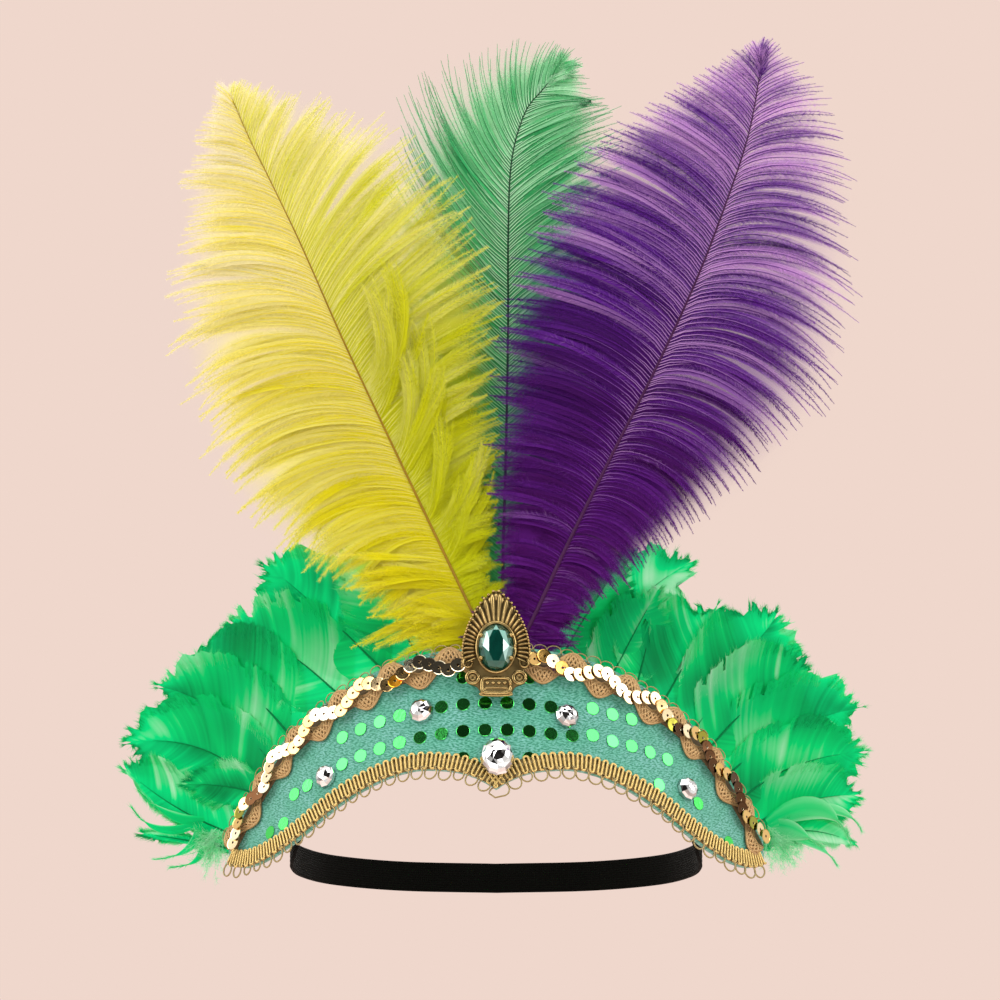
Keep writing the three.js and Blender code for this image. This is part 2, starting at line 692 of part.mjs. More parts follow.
for (const [name, { color, rows }] of Object.entries(PLUMES)) {
  const plumage = finish(color, 0.8, 0);
  addPiece(`plume_${name}_quill`, shaftGeometry(rows), QUILL);
  addPiece(`plume_${name}_vane_left`, vaneGeometry(rows, "left"), plumage);
  addPiece(`plume_${name}_vane_right`, vaneGeometry(rows, "right"), plumage);
}

// Side feathers, in layers that stand apart outside the band

// Depth of the foremost layer.
function fanDepth(x, z) {
  const out = Math.abs(x);
  const step = FAN.step * THREE.MathUtils.smoothstep(out, FAN.stepFrom, FAN.stepTo);
  return FAN.y + FAN.slopeX * (out - FAN.x) + FAN.slopeZ * (z - FAN.z) + step;
}

// 0 behind the band, 1 a little way outside its upper edge.
function outsideShare(x, z) {
  const outside = (Math.hypot(x / FAN_OVAL.halfX, z / FAN_OVAL.halfZ) - 1) * FAN_OVAL.size;
  return THREE.MathUtils.smoothstep(outside, FAN_OVAL.partFrom, FAN_OVAL.partTo);
}

function featherGeometry({ x0, z0, x1, z1, x2, z2, wide, layer }) {
  const spine = new THREE.QuadraticBezierCurve(
    new THREE.Vector2(x0, z0),
    new THREE.Vector2(2 * x1 - (x0 + x2) / 2, 2 * z1 - (z0 + z2) / 2),
    new THREE.Vector2(x2, z2),
  );
  const rings = [];
  for (let i = 0; i <= FEATHER.stations; i++) {
    const t = i / FEATHER.stations;
    const here = spine.getPoint(t);
    const along = spine.getTangent(t);
    const half = (fromTable(FEATHER_FORM, "t", "share", t) * wide) / 2;
    const points = [];
    const thicknesses = [];
    for (let k = 0; k <= FEATHER.across; k++) {
      const share = (2 * k) / FEATHER.across - 1;
      const x = here.x + along.y * half * share;
      const z = here.y - along.x * half * share;
      const apart = outsideShare(x, z);
      const y = fanDepth(x, z) + layer * (FEATHER.layer + FEATHER.spread * apart);
      points.push(new THREE.Vector3(x, y + FEATHER.cup * apart * share * share, z));
      thicknesses.push(lerp(FEATHER.thick, FEATHER.edgeThick, Math.abs(share)));
    }
    const front = new THREE.Vector3(0, -1, 0);
    rings.push(ringOf(points, points.map(() => front), thicknesses));
  }
  return loft(rings);
}

for (const feather of FEATHERS) addPiece(feather.name, featherGeometry(feather), SIDE_FEATHER);

export default headdress;
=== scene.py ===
"""Carnival feather headdress: cloth, braid, sequins, stones, brooch, elastic and feathers, made
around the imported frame. Tables and curves are in millimetres, finished meshes in metres."""

import math

import bpy
import numpy as np
from mathutils import Matrix, Vector


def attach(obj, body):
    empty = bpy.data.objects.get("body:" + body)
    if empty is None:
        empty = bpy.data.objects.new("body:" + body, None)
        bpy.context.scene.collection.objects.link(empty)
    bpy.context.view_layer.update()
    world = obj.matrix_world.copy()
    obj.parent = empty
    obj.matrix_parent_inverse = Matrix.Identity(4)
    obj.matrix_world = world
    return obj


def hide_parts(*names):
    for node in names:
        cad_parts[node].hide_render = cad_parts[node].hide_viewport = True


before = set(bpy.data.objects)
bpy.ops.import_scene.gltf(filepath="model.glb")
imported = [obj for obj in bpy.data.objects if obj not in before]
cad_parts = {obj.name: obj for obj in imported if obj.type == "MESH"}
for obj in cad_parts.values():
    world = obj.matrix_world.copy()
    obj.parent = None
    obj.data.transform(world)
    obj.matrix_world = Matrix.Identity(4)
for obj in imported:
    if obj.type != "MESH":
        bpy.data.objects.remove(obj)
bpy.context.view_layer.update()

bl_info = {
    "name": "Carnival feather headdress",
    "version": (1, 0, 0),
    "blender": (4, 5, 0),
    "location": "View3D > Sidebar > Headdress",
    "description": "Makes a plumed carnival headdress around its fixed frame",
    "category": "Object",
}

MM = 0.001
WHITE = (1.0, 1.0, 1.0)
BODY = "root"

# The band, as in the frame: a bowed crescent that leans back

BAND_FRONT_Y = -60.0
BAND_MID_Z = 48.0
BAND_LEAN = math.radians(24)
BAND_BOW = 135.0
BAND_WALL = 2.2
TAN_LEAN = math.tan(BAND_LEAN)

# Right half of the crescent: x, height of the lower edge, height of the upper edge
BAND_OUTLINE = np.array([
    (0, 25.8, 72.2),
    (4, 28.2, 72.0),
    (10, 30.6, 71.4),
    (18, 31.8, 70.4),
    (27, 31.6, 68.4),
    (36, 29.0, 65.2),
    (46, 24.0, 60.2),
    (55, 17.8, 54.2),
    (64, 10.2, 46.8),
    (73, 3.4, 37.2),
    (82, -1.2, 23.0),
    (88, -1.6, 11.6),
    (91.4, 0.6, 4.8),
])
BAND_HALF = BAND_OUTLINE[-1, 0]
LOW, HIGH = 1, 2

BRAID_INSET = 6.0
BRAID_WAVE = 21.0
BRAID_END_CLEAR = 0.4
LOW_BRAID_REACH = 89.5
SEQUIN_PITCH = 3.2
SEQUIN_SWAY = 3.0
BROOCH_CLEAR = 12.5

# Right half of the strap from its sewn end to the back of the head: x, y, z
STRAP_ROUTE = np.array([
    (59.5, -41.6, 19.0),
    (64.8, -38.2, 13.0),
    (67.6, -30.0, 6.0),
    (68.2, -16.0, 2.0),
    (65.0, 6.0, -1.8),
    (54.5, 32.0, -5.5),
    (32.0, 51.5, -8.3),
    (0.0, 58.0, -9.3),
])
STRAP_PITCH = math.radians(8)
STRAP_SEWN = 0.09

# Clear stones: CAD node, x, z, across, tall, high, lift, tilt in degrees
STONES = (
    ("stone_inner_left", -24.6, 50.6, 7.8, 7.8, 3.2, 0.3, 0),
    ("stone_inner_right", 23.3, 48.9, 7.8, 7.8, 3.2, 0.3, 0),
    ("stone_outer_left", -56.2, 28.6, 7.4, 7.4, 3.0, 0.3, 0),
    ("stone_outer_right", 63.2, 24.4, 7.4, 7.4, 3.0, 0.3, 0),
    ("stone_centre_drop", 0.4, 35.0, 11.6, 14.6, 4.6, 2.05, 11),
)

# Brooch plate: back at the seat height, lean, lower end, and its stone
BROOCH_BACK_Y = -57.4
BROOCH_SEAT_Z = 61.0
BROOCH_LEAN = math.radians(14)
BROOCH_BOTTOM_Z = 55.6
BROOCH_HEIGHT = 36.0
BROOCH_STONE_UP = (71.2 - BROOCH_BOTTOM_Z) / math.cos(BROOCH_LEAN)
BROOCH_STONE_HALF = (5.8, 7.9)
# Right half of the plate: height from its lower end, half width
BROOCH_OUTLINE = np.array([
    (0.0, 5.2),
    (2.6, 6.2),
    (4.2, 9.6),
    (8.0, 9.4),
    (11.5, 11.0),
    (17.0, 11.0),
    (23.0, 9.6),
    (28.5, 7.0),
    (33.2, 3.8),
    (36.0, 0.3),
])

# Plumes from cut end to tip: t, x, y, z of the quill, reach of the vane on the left and right
PLUMES = {
    "purple": np.array([
        (0.0, 0.2, -50.1, 58.0, 3, 3),
        (0.105, 11.3, -41.6, 79.0, 11, 11),
        (0.224, 23.0, -34.3, 103.9, 28, 26),
        (0.374, 38.7, -25.8, 135.5, 46, 42),
        (0.509, 53.2, -19.5, 164.0, 57, 55),
        (0.644, 66.7, -14.6, 193.2, 58, 57),
        (0.761, 76.9, -11.3, 219.5, 53, 48),
        (0.865, 84.7, -8.8, 243.1, 37, 38),
        (0.958, 88.8, -6.6, 265.2, 16, 19),
        (1.0, 89.8, -5.6, 275.3, 3, 3),
    ]),
    "yellow": np.array([
        (0.0, 1.8, -45.4, 62.0, 3, 3),
        (0.09, -6.0, -37.6, 79.0, 18, 6),
        (0.264, -22.0, -24.0, 112.2, 43, 24),
        (0.399, -34.8, -16.2, 138.9, 57, 40),
        (0.565, -50.7, -9.4, 172.6, 57, 58),
        (0.733, -66.0, -4.2, 207.1, 49, 55),
        (0.838, -76.3, -1.6, 228.5, 36, 45),
        (0.905, -83.0, -0.2, 242.0, 25, 32),
        (1.0, -91.6, 1.6, 261.8, 3, 3),
    ]),
    "green": np.array([
        (0.0, 2.0, -40.2, 66.0, 3, 3),
        (0.181, 2.3, -21.6, 100.4, 18, 18),
        (0.359, 3.3, -8.6, 137.3, 33, 32),
        (0.548, 4.0, 0.4, 178.0, 42, 37),
        (0.706, 4.1, 5.2, 212.2, 44, 38),
        (0.815, 5.4, 7.8, 236.1, 42, 40),
        (0.892, 10.2, 9.2, 252.2, 38, 36),
        (0.939, 16.7, 10.0, 260.1, 32, 28),
        (1.0, 24.5, 11.0, 271.0, 10, 6),
    ]),
}
REACH_COLUMN = {"left": 4, "right": 5}
SIDE_SIGN = {"left": -1.0, "right": 1.0}
PLUME_CURL = 3.0
PLUME_CURL_REACH = 60.0

# How each side of a plume grows. barbs and lock count the barbs and those in a lock, gather is how
# far a lock's ends draw together, stray the turn of the locks and of single barbs (radians), bend
# how soon a barb turns from its first slant to its last, over the t at which forward barbs end.
# cover is how closed the web is (t, share), closed the share of a barb that carries it, haze the
# share of the film behind it, tone its shade (t, value), low at the foot as painted shade, streak how
# far the shades of locks and of single barbs differ, lines the shades of a barb's dark edge, a painted
# shade, and of its lit edge, a painted highlight. strands, fluff and thin give the barbules' count,
# length and width, crowd their spread (t, share), fade their shortening towards the ends. slant gives
# the barbs' angles from the quill (t, degrees at root, at end).
PLUME_BOTH = {
    "purple": dict(lock=2, gather=0.0, bend=0.55),
    "yellow": dict(lock=3, bend=0.75, haze=0.85, strands=120000, fade=0.8, thin=0.085),
    "green": dict(
        barbs=176, lock=2, gather=0.15, stray=(0.03, 0.05), over=1.005,
        cover=((0, 0.9), (0.5, 0.8), (0.8, 0.62), (1, 0.55)), haze=0.5, streak=(0.04, 0.09),
        lines=(0.04, 0.98), strands=46000, fluff=2.6, fade=0.9, thin=0.1,
        crowd=((0, 1.0), (0.5, 1.1), (1, 0.8))),
}
PLUME_LOOKS = {
    ("purple", "left"): dict(
        barbs=200, stray=(0.02, 0.05), closed=0.98, haze=0.9,
        cover=((0, 1), (0.5, 1), (0.7, 0.62), (0.88, 0.34), (1, 0.12)),
        tone=((0, 0.16), (0.45, 0.22), (0.75, 0.6), (1, 0.76)), streak=(0.06, 0.13), lines=(0.02, 0.8),
        strands=84000, fluff=3.6, fade=0.8, thin=0.13,
        crowd=((0, 1.3), (0.5, 1.2), (0.75, 0.8), (1, 0.5)),
        slant=((0.05, 70, 124), (0.3, 62, 118), (0.5, 58, 110), (0.7, 52, 98), (0.85, 44, 82),
               (0.94, 36, 62), (1, 6, 14))),
    ("purple", "right"): dict(
        barbs=190, stray=(0.02, 0.045), closed=0.88, haze=0.85,
        cover=((0, 1), (0.4, 1), (0.62, 0.52), (0.88, 0.24), (1, 0.1)),
        tone=((0, 0.16), (0.4, 0.24), (0.7, 0.64), (1, 0.76)), streak=(0.08, 0.15), lines=(0.02, 0.95),
        strands=76000, fluff=3.2, fade=0.9, thin=0.12,
        crowd=((0, 1.3), (0.45, 1.1), (0.7, 0.7), (1, 0.4)),
        slant=((0.05, 48, 118), (0.3, 38, 132), (0.5, 34, 122), (0.7, 30, 106), (0.85, 28, 88),
               (0.94, 32, 66), (1, 6, 14))),
    ("yellow", "left"): dict(
        barbs=190, gather=0.0, stray=(0.045, 0.1), closed=0.94,
        cover=((0, 1), (0.4, 0.95), (0.65, 0.62), (1, 0.36)),
        tone=((0, 0.36), (0.4, 0.6), (0.75, 0.8), (1, 0.95)), streak=(0.04, 0.06), lines=(0.42, 0.82),
        fluff=5.0, crowd=((0, 1.5), (0.45, 1.2), (0.7, 0.5), (1, 0.22)),
        slant=((0.05, 56, 116), (0.3, 44, 120), (0.5, 38, 110), (0.65, 34, 92), (0.8, 32, 74),
               (0.93, 30, 56), (1, 10, 20))),
    ("yellow", "right"): dict(
        barbs=188, gather=0.05, stray=(0.06, 0.1), closed=0.92,
        cover=((0, 1), (0.4, 0.82), (0.65, 0.6), (1, 0.36)),
        tone=((0, 0.34), (0.4, 0.48), (0.75, 0.76), (1, 0.95)), streak=(0.05, 0.07), lines=(0.38, 0.82),
        fluff=4.8, crowd=((0, 1.5), (0.5, 1.2), (0.75, 0.5), (1, 0.22)),
        slant=((0.05, 80, 108), (0.3, 66, 100), (0.5, 58, 90), (0.7, 46, 72), (0.85, 38, 62),
               (0.95, 32, 50), (1, 10, 20))),
    ("green", "left"): dict(
        bend=0.9, closed=0.76, tone=((0, 0.38), (0.6, 0.5), (1, 0.64)),
        slant=((0.05, 54, 48), (0.4, 52, 38), (0.6, 50, 24), (0.8, 46, 12), (0.93, 42, 8), (1, 26, 6))),
    ("green", "right"): dict(
        bend=0.8, closed=0.84, tone=((0, 0.38), (0.6, 0.54), (1, 0.66)),
        slant=((0.05, 50, 58), (0.4, 46, 64), (0.7, 44, 70), (0.9, 42, 66), (1, 32, 40))),
}
# Loose barbs on a plume: count, locks, t from and to, slant at root and end, shortest, longest, lift
PLUME_TUFTS = {
    ("purple", "left"): ((26, 26, 0.03, 0.14, 80, 104, 10, 22, 2), (16, 16, 0.945, 0.974, 16, 2, 5, 9, 1)),
    ("purple", "right"): ((30, 30, 0.03, 0.14, 58, 84, 10, 22, 2), (16, 16, 0.945, 0.974, 16, 2, 5, 9, 1)),
    ("yellow", "left"): (
        (46, 30, 0.06, 0.22, 56, 90, 22, 44, 3),
        (110, 44, 0.03, 0.11, 60, 94, 14, 28, 3)),
    ("yellow", "right"): (
        (26, 26, 0.03, 0.2, 60, 84, 10, 20, 2),
        (84, 12, 0.2, 0.5, 62, 14, 34, 56, 6),
        (40, 8, 0.14, 0.3, 84, 50, 22, 36, 4)),
    ("green", "left"): ((12, 12, 0.04, 0.12, 40, 40, 10, 18, 1), (12, 12, 0.945, 0.974, 16, 6, 5, 9, 1)),
    ("green", "right"): ((12, 12, 0.04, 0.12, 40, 40, 10, 18, 1), (18, 18, 0.935, 0.974, 30, 44, 7, 12, 1)),
}
# Spread of the loose barbs: turn of locks and of barbs (radians), stray along the quill, least share
# of their length and lift, first t
TUFT_TURN = (0.13, 0.06)
TUFT_STRAY = 0.006
TUFT_LENGTH = (0.8, 1.02)
TUFT_LIFT = 0.4
TUFT_START = 0.02
BARB_STEPS = 13
BARB_START = 0.045
BARB_END = 0.974
BARB_GATHER_POWER = 1.7
BARB_WAVE = 0.05
BARB_WAVES = (5, 9)
BARB_PHASE = 6
# How barbs differ: place along the quill, shares of the length by lock and barb, lift by lock and barb
BARB_STRAY = 0.15
LOCK_UNEVEN = (0.92, 1.03)
BARB_UNEVEN = (0.88, 1.03)
LIFT_STRAY = (1.5, 0.6)
# Barbs are fitted to the outline in rounds, and where a look gives over, they end before that t
FIT_ROUNDS = 24
FIT_STEP = 0.3
NO_LIMIT = 10.0
LEAST_RISE = 0.2
# The film behind the barbs: rows, depth, mean and spread of its shade, where it thins up the plume
# and by how much, where it fades along a barb
HAZE_ROWS = 90
HAZE_DEPTH = 0.9
HAZE_SHADE = (-0.05, 0.05)
HAZE_THIN = 0.5
HAZE_THIN_AT = (0.5, 0.9)
HAZE_FADE_AT = (0.5, 0.95)
# The web: spread and fading of its cover, roll, paler ends, and its dark spots
COVER_UNEVEN = (0.72, 1.15)
COVER_FADE = 0.4
WEB_ROLL = 0.25
END_PALE = 0.12
SPOT_AT = (0.1, 0.9)
SPOT_SHARE = 0.4
SPOT_DEPTH = 0.3
SPOT_WIDTH = 0.17
# A barbule's tilt, angles from its barb (degrees), turn of its flat side, paler tip
BARBULE_TILT = 0.45
BARBULE_ANGLES = (22, 66)
BARBULE_TURN = 0.3
BARBULE_PALE = 0.12
LINE_WIDTH = 0.3
LINE_TAPER = 0.65
LINE_LIFT = 0.3
QUILL_LIFT = 0.45
QUILL_TAPER = 0.8
QUILL_POWER = 0.8
QUILL_PAST = 0.004
QUILL_STATIONS = 60
QUILL_SHARE = {"purple": 1.0, "yellow": 0.75, "green": 0.9}
# The lit edge of a barb, a painted highlight: offset, lift, reach from the quill, how rarely it shows
# further out, share of it at the plume's foot and where it comes in, width at the root, its fall and
# its least
LIT_OFFSET = 0.42
LIT_LIFT = 0.1
LIT_REACH = 0.3
LIT_RARE = 0.25
LIT_FOOT = 0.45
LIT_RISE = (0.2, 0.55)
LIT_WIDTH = (1.3, 1.4, 0.1)
# The dark edge of a barb, a painted shade: share of the web's shade that it follows, the shade it
# counts from, where that starts
DARK_SHARE = 0.3
DARK_MIDDLE = 0.3
DARK_FROM = 0.1
# Barbules: share of their length at the quill, where it is whole, power of their shortening, spread of
# their length, mean and spread of their shade
FLUFF_ROOT = 0.45
FLUFF_WHOLE = 0.2
FADE_POWER = 2.2
FLUFF_UNEVEN = (0.5, 1.1)
FLUFF_SHADE = (0.03, 0.55)
WEB_WIDTHS = ((0, 1.7), (0.15, 2.1), (0.8, 3.3), (0.93, 2.4), (1, 0.3))

# Side feathers: quill end, middle and tip of the spine (x, z), widest breadth, layer
SIDE_FEATHERS = {
    "feather_left_1": (-86.4, 3.3, -103, 6, -119, 8, 3, 0),
    "feather_left_2": (-83.8, 7.3, -105.9, 16, -125.2, 29.4, 24, 1),
    "feather_left_3": (-77, 20, -97.5, 36, -124.2, 38.4, 30, 2),
    "feather_left_4": (-71.7, 28.4, -90.8, 47.5, -113, 57, 33, 3),
    "feather_left_5": (-65, 37.4, -85.3, 57.5, -104.5, 67, 34, 4),
    "feather_left_6": (-48.2, 51.8, -68, 67.6, -88.5, 78.5, 36, 5),
    "feather_left_7": (-34.8, 60.9, -55.6, 80.3, -77, 98.4, 32, 6),
    "feather_right_1": (85.8, 3.3, 101.8, 9.3, 121.3, 4.6, 8, 0),
    "feather_right_2": (82.4, 9.3, 101.8, 18.3, 121.3, 20.7, 22, 1),
    "feather_right_3": (77.7, 16.7, 98.5, 30, 123.3, 35, 28, 2),
    "feather_right_4": (73.7, 25, 96.8, 41.8, 122, 49.5, 32, 3),
    "feather_right_5": (68.3, 34.4, 87.8, 53, 104, 61.5, 32, 4),
    "feather_right_6": (63, 40, 80.5, 62.5, 94.5, 80.5, 33, 5),
    "feather_right_7": (53.3, 49.5, 64.6, 67.6, 74.2, 83.4, 36, 6),
    "feather_right_8": (45.6, 56.2, 50, 70.3, 53.3, 86.3, 22, 7),
    "feather_right_9": (34.2, 62.9, 43.2, 82, 65.7, 99.7, 30, 8),
}
SPINE, BREADTH, LAYER = slice(6), 6, 7
# Breadth of a side feather's web along its spine, as a share of its widest
WEB_FORM = np.array([
    (0, 0.5),
    (0.12, 0.8),
    (0.32, 1),
    (0.6, 1.06),
    (0.82, 0.92),
    (0.94, 0.6),
    (1, 0.12),
])
FEATHER_BARBS = 72
FEATHER_STEPS = 11
FEATHER_ANGLES = (60, 34)
FEATHER_TURN = math.radians(12)
WEB_SPAN = (0.02, 0.99)
WEB_FIT_ROUNDS = 6
WEB_FIT_STEP = 0.5
# Shares of the length by lock and by barb
WEB_LOCK_UNEVEN = (0.96, 1.04)
WEB_BARB_UNEVEN = (0.97, 1.03)
# The web's ripples: waves along it, depth at root and more at the ends, distance over which they start
RIPPLE_WAVES = 7
RIPPLE_DEPTH = (0.35, 0.5)
RIPPLE_START = 5
# Its curl to the back: depth at a reach, and by lock
WEB_CURL = 1.1
WEB_CURL_REACH = 14
LOCK_CURL = 0.6
# Tone of a feather: spread of its own shade, waves of the painted fold shade along it and along a
# barb, base, shares of the shade and of the painted fold shade, spread by barb, paler ends
SHADE_STRAY = 0.15
FOLD_SHADE_WAVES = (5, 3)
TONE_BASE = 0.38
TONE_SHADE = 0.6
TONE_FOLD_SHADE = 0.26
TONE_STRAY = 0.045
TONE_END = 0.08
# Towards its tip the barbs turn forwards and shorten, so that the web closes round the quill's end
TIP_FAN = (0.78, 1.0)
TIP_TURN = 0.75
TIP_END = 1.0
TIP_HAIR = 2.2
SPINE_SHOWN = 0.86
SPINE_STATIONS = 24
SPINE_LIFT = 0.2
SPINE_RADIUS = 0.42
LOCK_STRAY = 0.055
LOCK_GATHER = 0.28
# Share of its breadth that a feather keeps on its lower side
LOW_SIDE = {"feather_left_2": 0.35}
WEB_LOCK = 17
# Painted shade by side: how far the tones of each fan are lowered
SIDE_SHADE = {"left": -0.03, "right": -0.09}
# Hairs at the edge: count for each barb, where on it they start, stray aside and forwards, length, half
# width
FRINGE_HAIRS = 14
FRINGE_SPAN = (0.72, 0.99)
FRINGE_STRAY = (0.28, 0.25)
FRINGE_LENGTH = (0.8, 3.2)
FRINGE_HALF = 0.08
# Loose curled locks: start, middle and end (x, z), breadth
WISPS = {
    "feather_left_1": (
        (-98, 13.5, -109, 14.5, -120.4, 23, 3.4),
        (-99, 12.5, -112.5, 9.6, -122.4, 17, 3.2),
        (-100, 12.5, -103, 3.5, -114.5, -0.6, 3.0),
        (-99, 8, -100, 0, -109, -3, 2.2),
    ),
    "feather_right_1": (
        (91, 12, 108.5, 16.5, 119, 4, 8),
        (91, 10.5, 100, 9, 109.5, 3.6, 7),
        (99, 7, 108, 4, 114, -2.5, 2.8),
        (104, 17, 116, 15.5, 122.5, 9, 3.4),
    ),
}
WISP_RIM = 0.6
WISP_LINES = 7
WISP_LIFT = 1.5
# Swelling of a loose lock: half waves along it, their start, power
WISP_SWELL = (1.15, 0.12, 0.8)
# Tone of a loose lock: base, more on the right, spread, paler end
WISP_TONE = (0.34, 0.22, 0.06, 0.12)
# Small feathers tied in with another: as above, without the layer
TIED_FEATHERS = {
    "feather_left_2": (-76, 21, -88, 24, -104, 25, 15),
    "feather_left_7": (-22, 60, -33, 80, -50, 103, 30),
    "feather_right_8": (35, 56, 43, 70, 54, 90, 24),
    "feather_right_9": (18, 62, 29, 80, 42, 100, 26),
}
TIED_LAYER = -0.6
# Pale places on the side feathers, partly painted light through their thin parts and partly their
# paler undersides: x, z, radius
PALE_SPOTS = (
    (-78, 53, 10), (-88, 36, 7), (55, 91, 9), (65, 68, 6),
    (92, 38, 7), (82, 56, 5), (106, 12, 9), (115, 4, 8),
)
PALE_RISE = 0.3
PALE_STREAKS = 0.04
STREAK_BLUR = (0.15, 0.4, 0.6, 0.4, 0.15)
STREAK_ROOT = 0.3
# Tufts of down: x, z, length, heading in degrees, strands
DOWN = {
    "feather_left_1": ((-93, 8, 13, 245, 60),),
    "feather_right_1": ((93, 8, 13, -65, 60),),
}
# Strands of down: spread of heading and of bend (radians), share of the length, stray of the root, lift,
# tone, width at the root and its fall; count, length and width of the barbules on each
DOWN_SPREAD = (0.4, 0.6)
DOWN_UNEVEN = (0.5, 1.05)
DOWN_STRAY = 1.6
DOWN_LIFT = (-1, 2.5)
DOWN_TONE = (0.8, 0.1)
DOWN_WIDTH = (0.22, 0.14)
DOWN_BARBULES = 46
DOWN_FLUFF = (1.4, 3.4)
DOWN_THIN = 0.1
LAYER_STEP = 1.3
LAYER_SPREAD = 2.3

# The photograph's view: the camera's distance from the band's front, and millimetres per picture
PICTURE_SPAN = 330.0
CAMERA_DISTANCE = 3000.0
CAMERA_X = 1.3
CAMERA_Z = 120.45
SENSOR = 36.0


def linear(red, green, blue):
    """A colour given in 0 to 255 as a screen shows it, as the linear colour that shaders use."""
    def channel(value):
        share = value / 255
        return share / 12.92 if share <= 0.04045 else ((share + 0.055) / 1.055) ** 2.4
    return (channel(red), channel(green), channel(blue))


def colour_property(name, description, screen):
    """A colour that a user may change."""
    return bpy.props.FloatVectorProperty(
        name=name, description=description, subtype="COLOR", size=3, min=0, max=1, default=linear(*screen))


def length_property(name, description, millimetres):
    """A length that a user may change, in metres."""
    return bpy.props.FloatProperty(
        name=name, description=description, subtype="DISTANCE", unit="LENGTH", min=0,
        default=millimetres * MM, precision=5)


class HeaddressSizes(bpy.types.PropertyGroup):
    """Sizes of the trimmings and feathers."""

    dot: length_property("Foil dot", "Diameter of the foil dots on the cloth", 4.6)
    dot_pitch: length_property("Dot pitch", "Distance between the dots in a row", 7.3)
    row_pitch: length_property("Row pitch", "Distance between the rows of dots", 9.6)
    sequin: length_property("Cup sequin", "Diameter of the gold cup sequins", 5.0)
    gimp_cord: length_property("Gimp cord", "Diameter of the cord in the lower braid", 0.84)
    plait_cord: length_property("Plait cord", "Diameter of the cords in the upper braid", 0.95)
    picot_cord: length_property("Picot cord", "Diameter of the cord in the edge loops", 0.6)
    strap_width: length_property("Strap width", "Width of the elastic strap", 10.0)
    strap_thickness: length_property("Strap thickness", "Thickness of the elastic strap", 1.2)
    quill: length_property("Plume quill", "Diameter of a plume's quill at its cut end", 1.6)


class HeaddressColours(bpy.types.PropertyGroup):
    """Colours of the pieces and of the stage."""

    cloth: colour_property("Cloth", "Ground of the sequinned cloth", (46, 154, 114))
    foil: colour_property("Foil dots", "Green foil of the dots", (74, 206, 96))
    gold: colour_property("Gold thread", "Metallic thread of the braids", (232, 206, 140))
    sequin: colour_property("Sequins", "Gold of the cup sequins", (255, 247, 220))
    brass: colour_property("Brass", "Antique brass of the brooch", (168, 144, 94))
    elastic: colour_property("Elastic", "Woven elastic", (4, 4, 3))
    side_green: colour_property("Side feathers", "Dyed green of the side feathers", (0, 212, 124))
    plume_green: colour_property("Green plume", "Dyed green of the middle plume", (66, 190, 116))
    plume_yellow: colour_property("Yellow plume", "Dyed yellow of the left plume", (234, 223, 26))
    plume_purple: colour_property("Purple plume", "Dyed purple of the right plume", (98, 34, 150))
    backdrop: colour_property("Backdrop", "Pale colour of the floor and the surroundings", (239, 215, 204))


# Curves and surfaces

def unit(vectors):
    """The vectors at length 1."""
    return vectors / np.maximum(np.linalg.norm(vectors, axis=-1, keepdims=True), 1e-9)


def from_table(rows, column, keys):
    """Smooth values of a table's column at keys in its first column, by cubic Hermite spans."""
    knots = rows[:, 0]
    values = rows[:, column]
    slopes = np.empty_like(values)
    slopes[1:-1] = (values[2:] - values[:-2]) / (knots[2:] - knots[:-2])
    slopes[0] = (values[1] - values[0]) / (knots[1] - knots[0])
    slopes[-1] = (values[-1] - values[-2]) / (knots[-1] - knots[-2])
    i = np.clip(np.searchsorted(knots, keys) - 1, 0, len(knots) - 2)
    span = knots[i + 1] - knots[i]
    s = np.clip((keys - knots[i]) / span, 0, 1)
    rise = (3 - 2 * s) * s * s
    start = s * (s - 1) ** 2
    end = s * s * (s - 1)
    return values[i] * (1 - rise) + values[i + 1] * rise + span * (start * slopes[i] + end * slopes[i + 1])


def from_pairs(pairs, keys):
    """Values of a list of pairs (key, value), on straight lines between them."""
    return np.interp(keys, *np.array(pairs).T)


def run_along(points):
    """Distances along a line of points, from its start."""
    return np.concatenate([[0], np.cumsum(np.linalg.norm(np.diff(points, axis=0), axis=1))])


def smooth_share(values, low, high):
    """0 below low, 1 above high, and a smooth rise between them."""
    s = np.clip((values - low) / (high - low), 0, 1)
    return s * s * (3 - 2 * s)


def band_normals(x):
    """Outward normals of the band's front face."""
    x = np.asarray(x, float)
    return unit(np.stack([2 * x / BAND_BOW, -np.ones_like(x), np.full_like(x, TAN_LEAN)], -1))


def band_points(x, z, lift=0.0):
    """Points of the band's front face at x and z, lifted along its normal."""
    x = np.asarray(x, float)
    y = BAND_FRONT_Y + x * x / BAND_BOW + TAN_LEAN * (z - BAND_MID_Z)
    return np.stack([x, y, z + 0 * x], -1) + band_normals(x) * np.asarray(lift)[..., None]


def edge_heights(edge, x):
    """Heights of the band's lower or upper edge."""
    return from_table(BAND_OUTLINE, edge, np.abs(x))


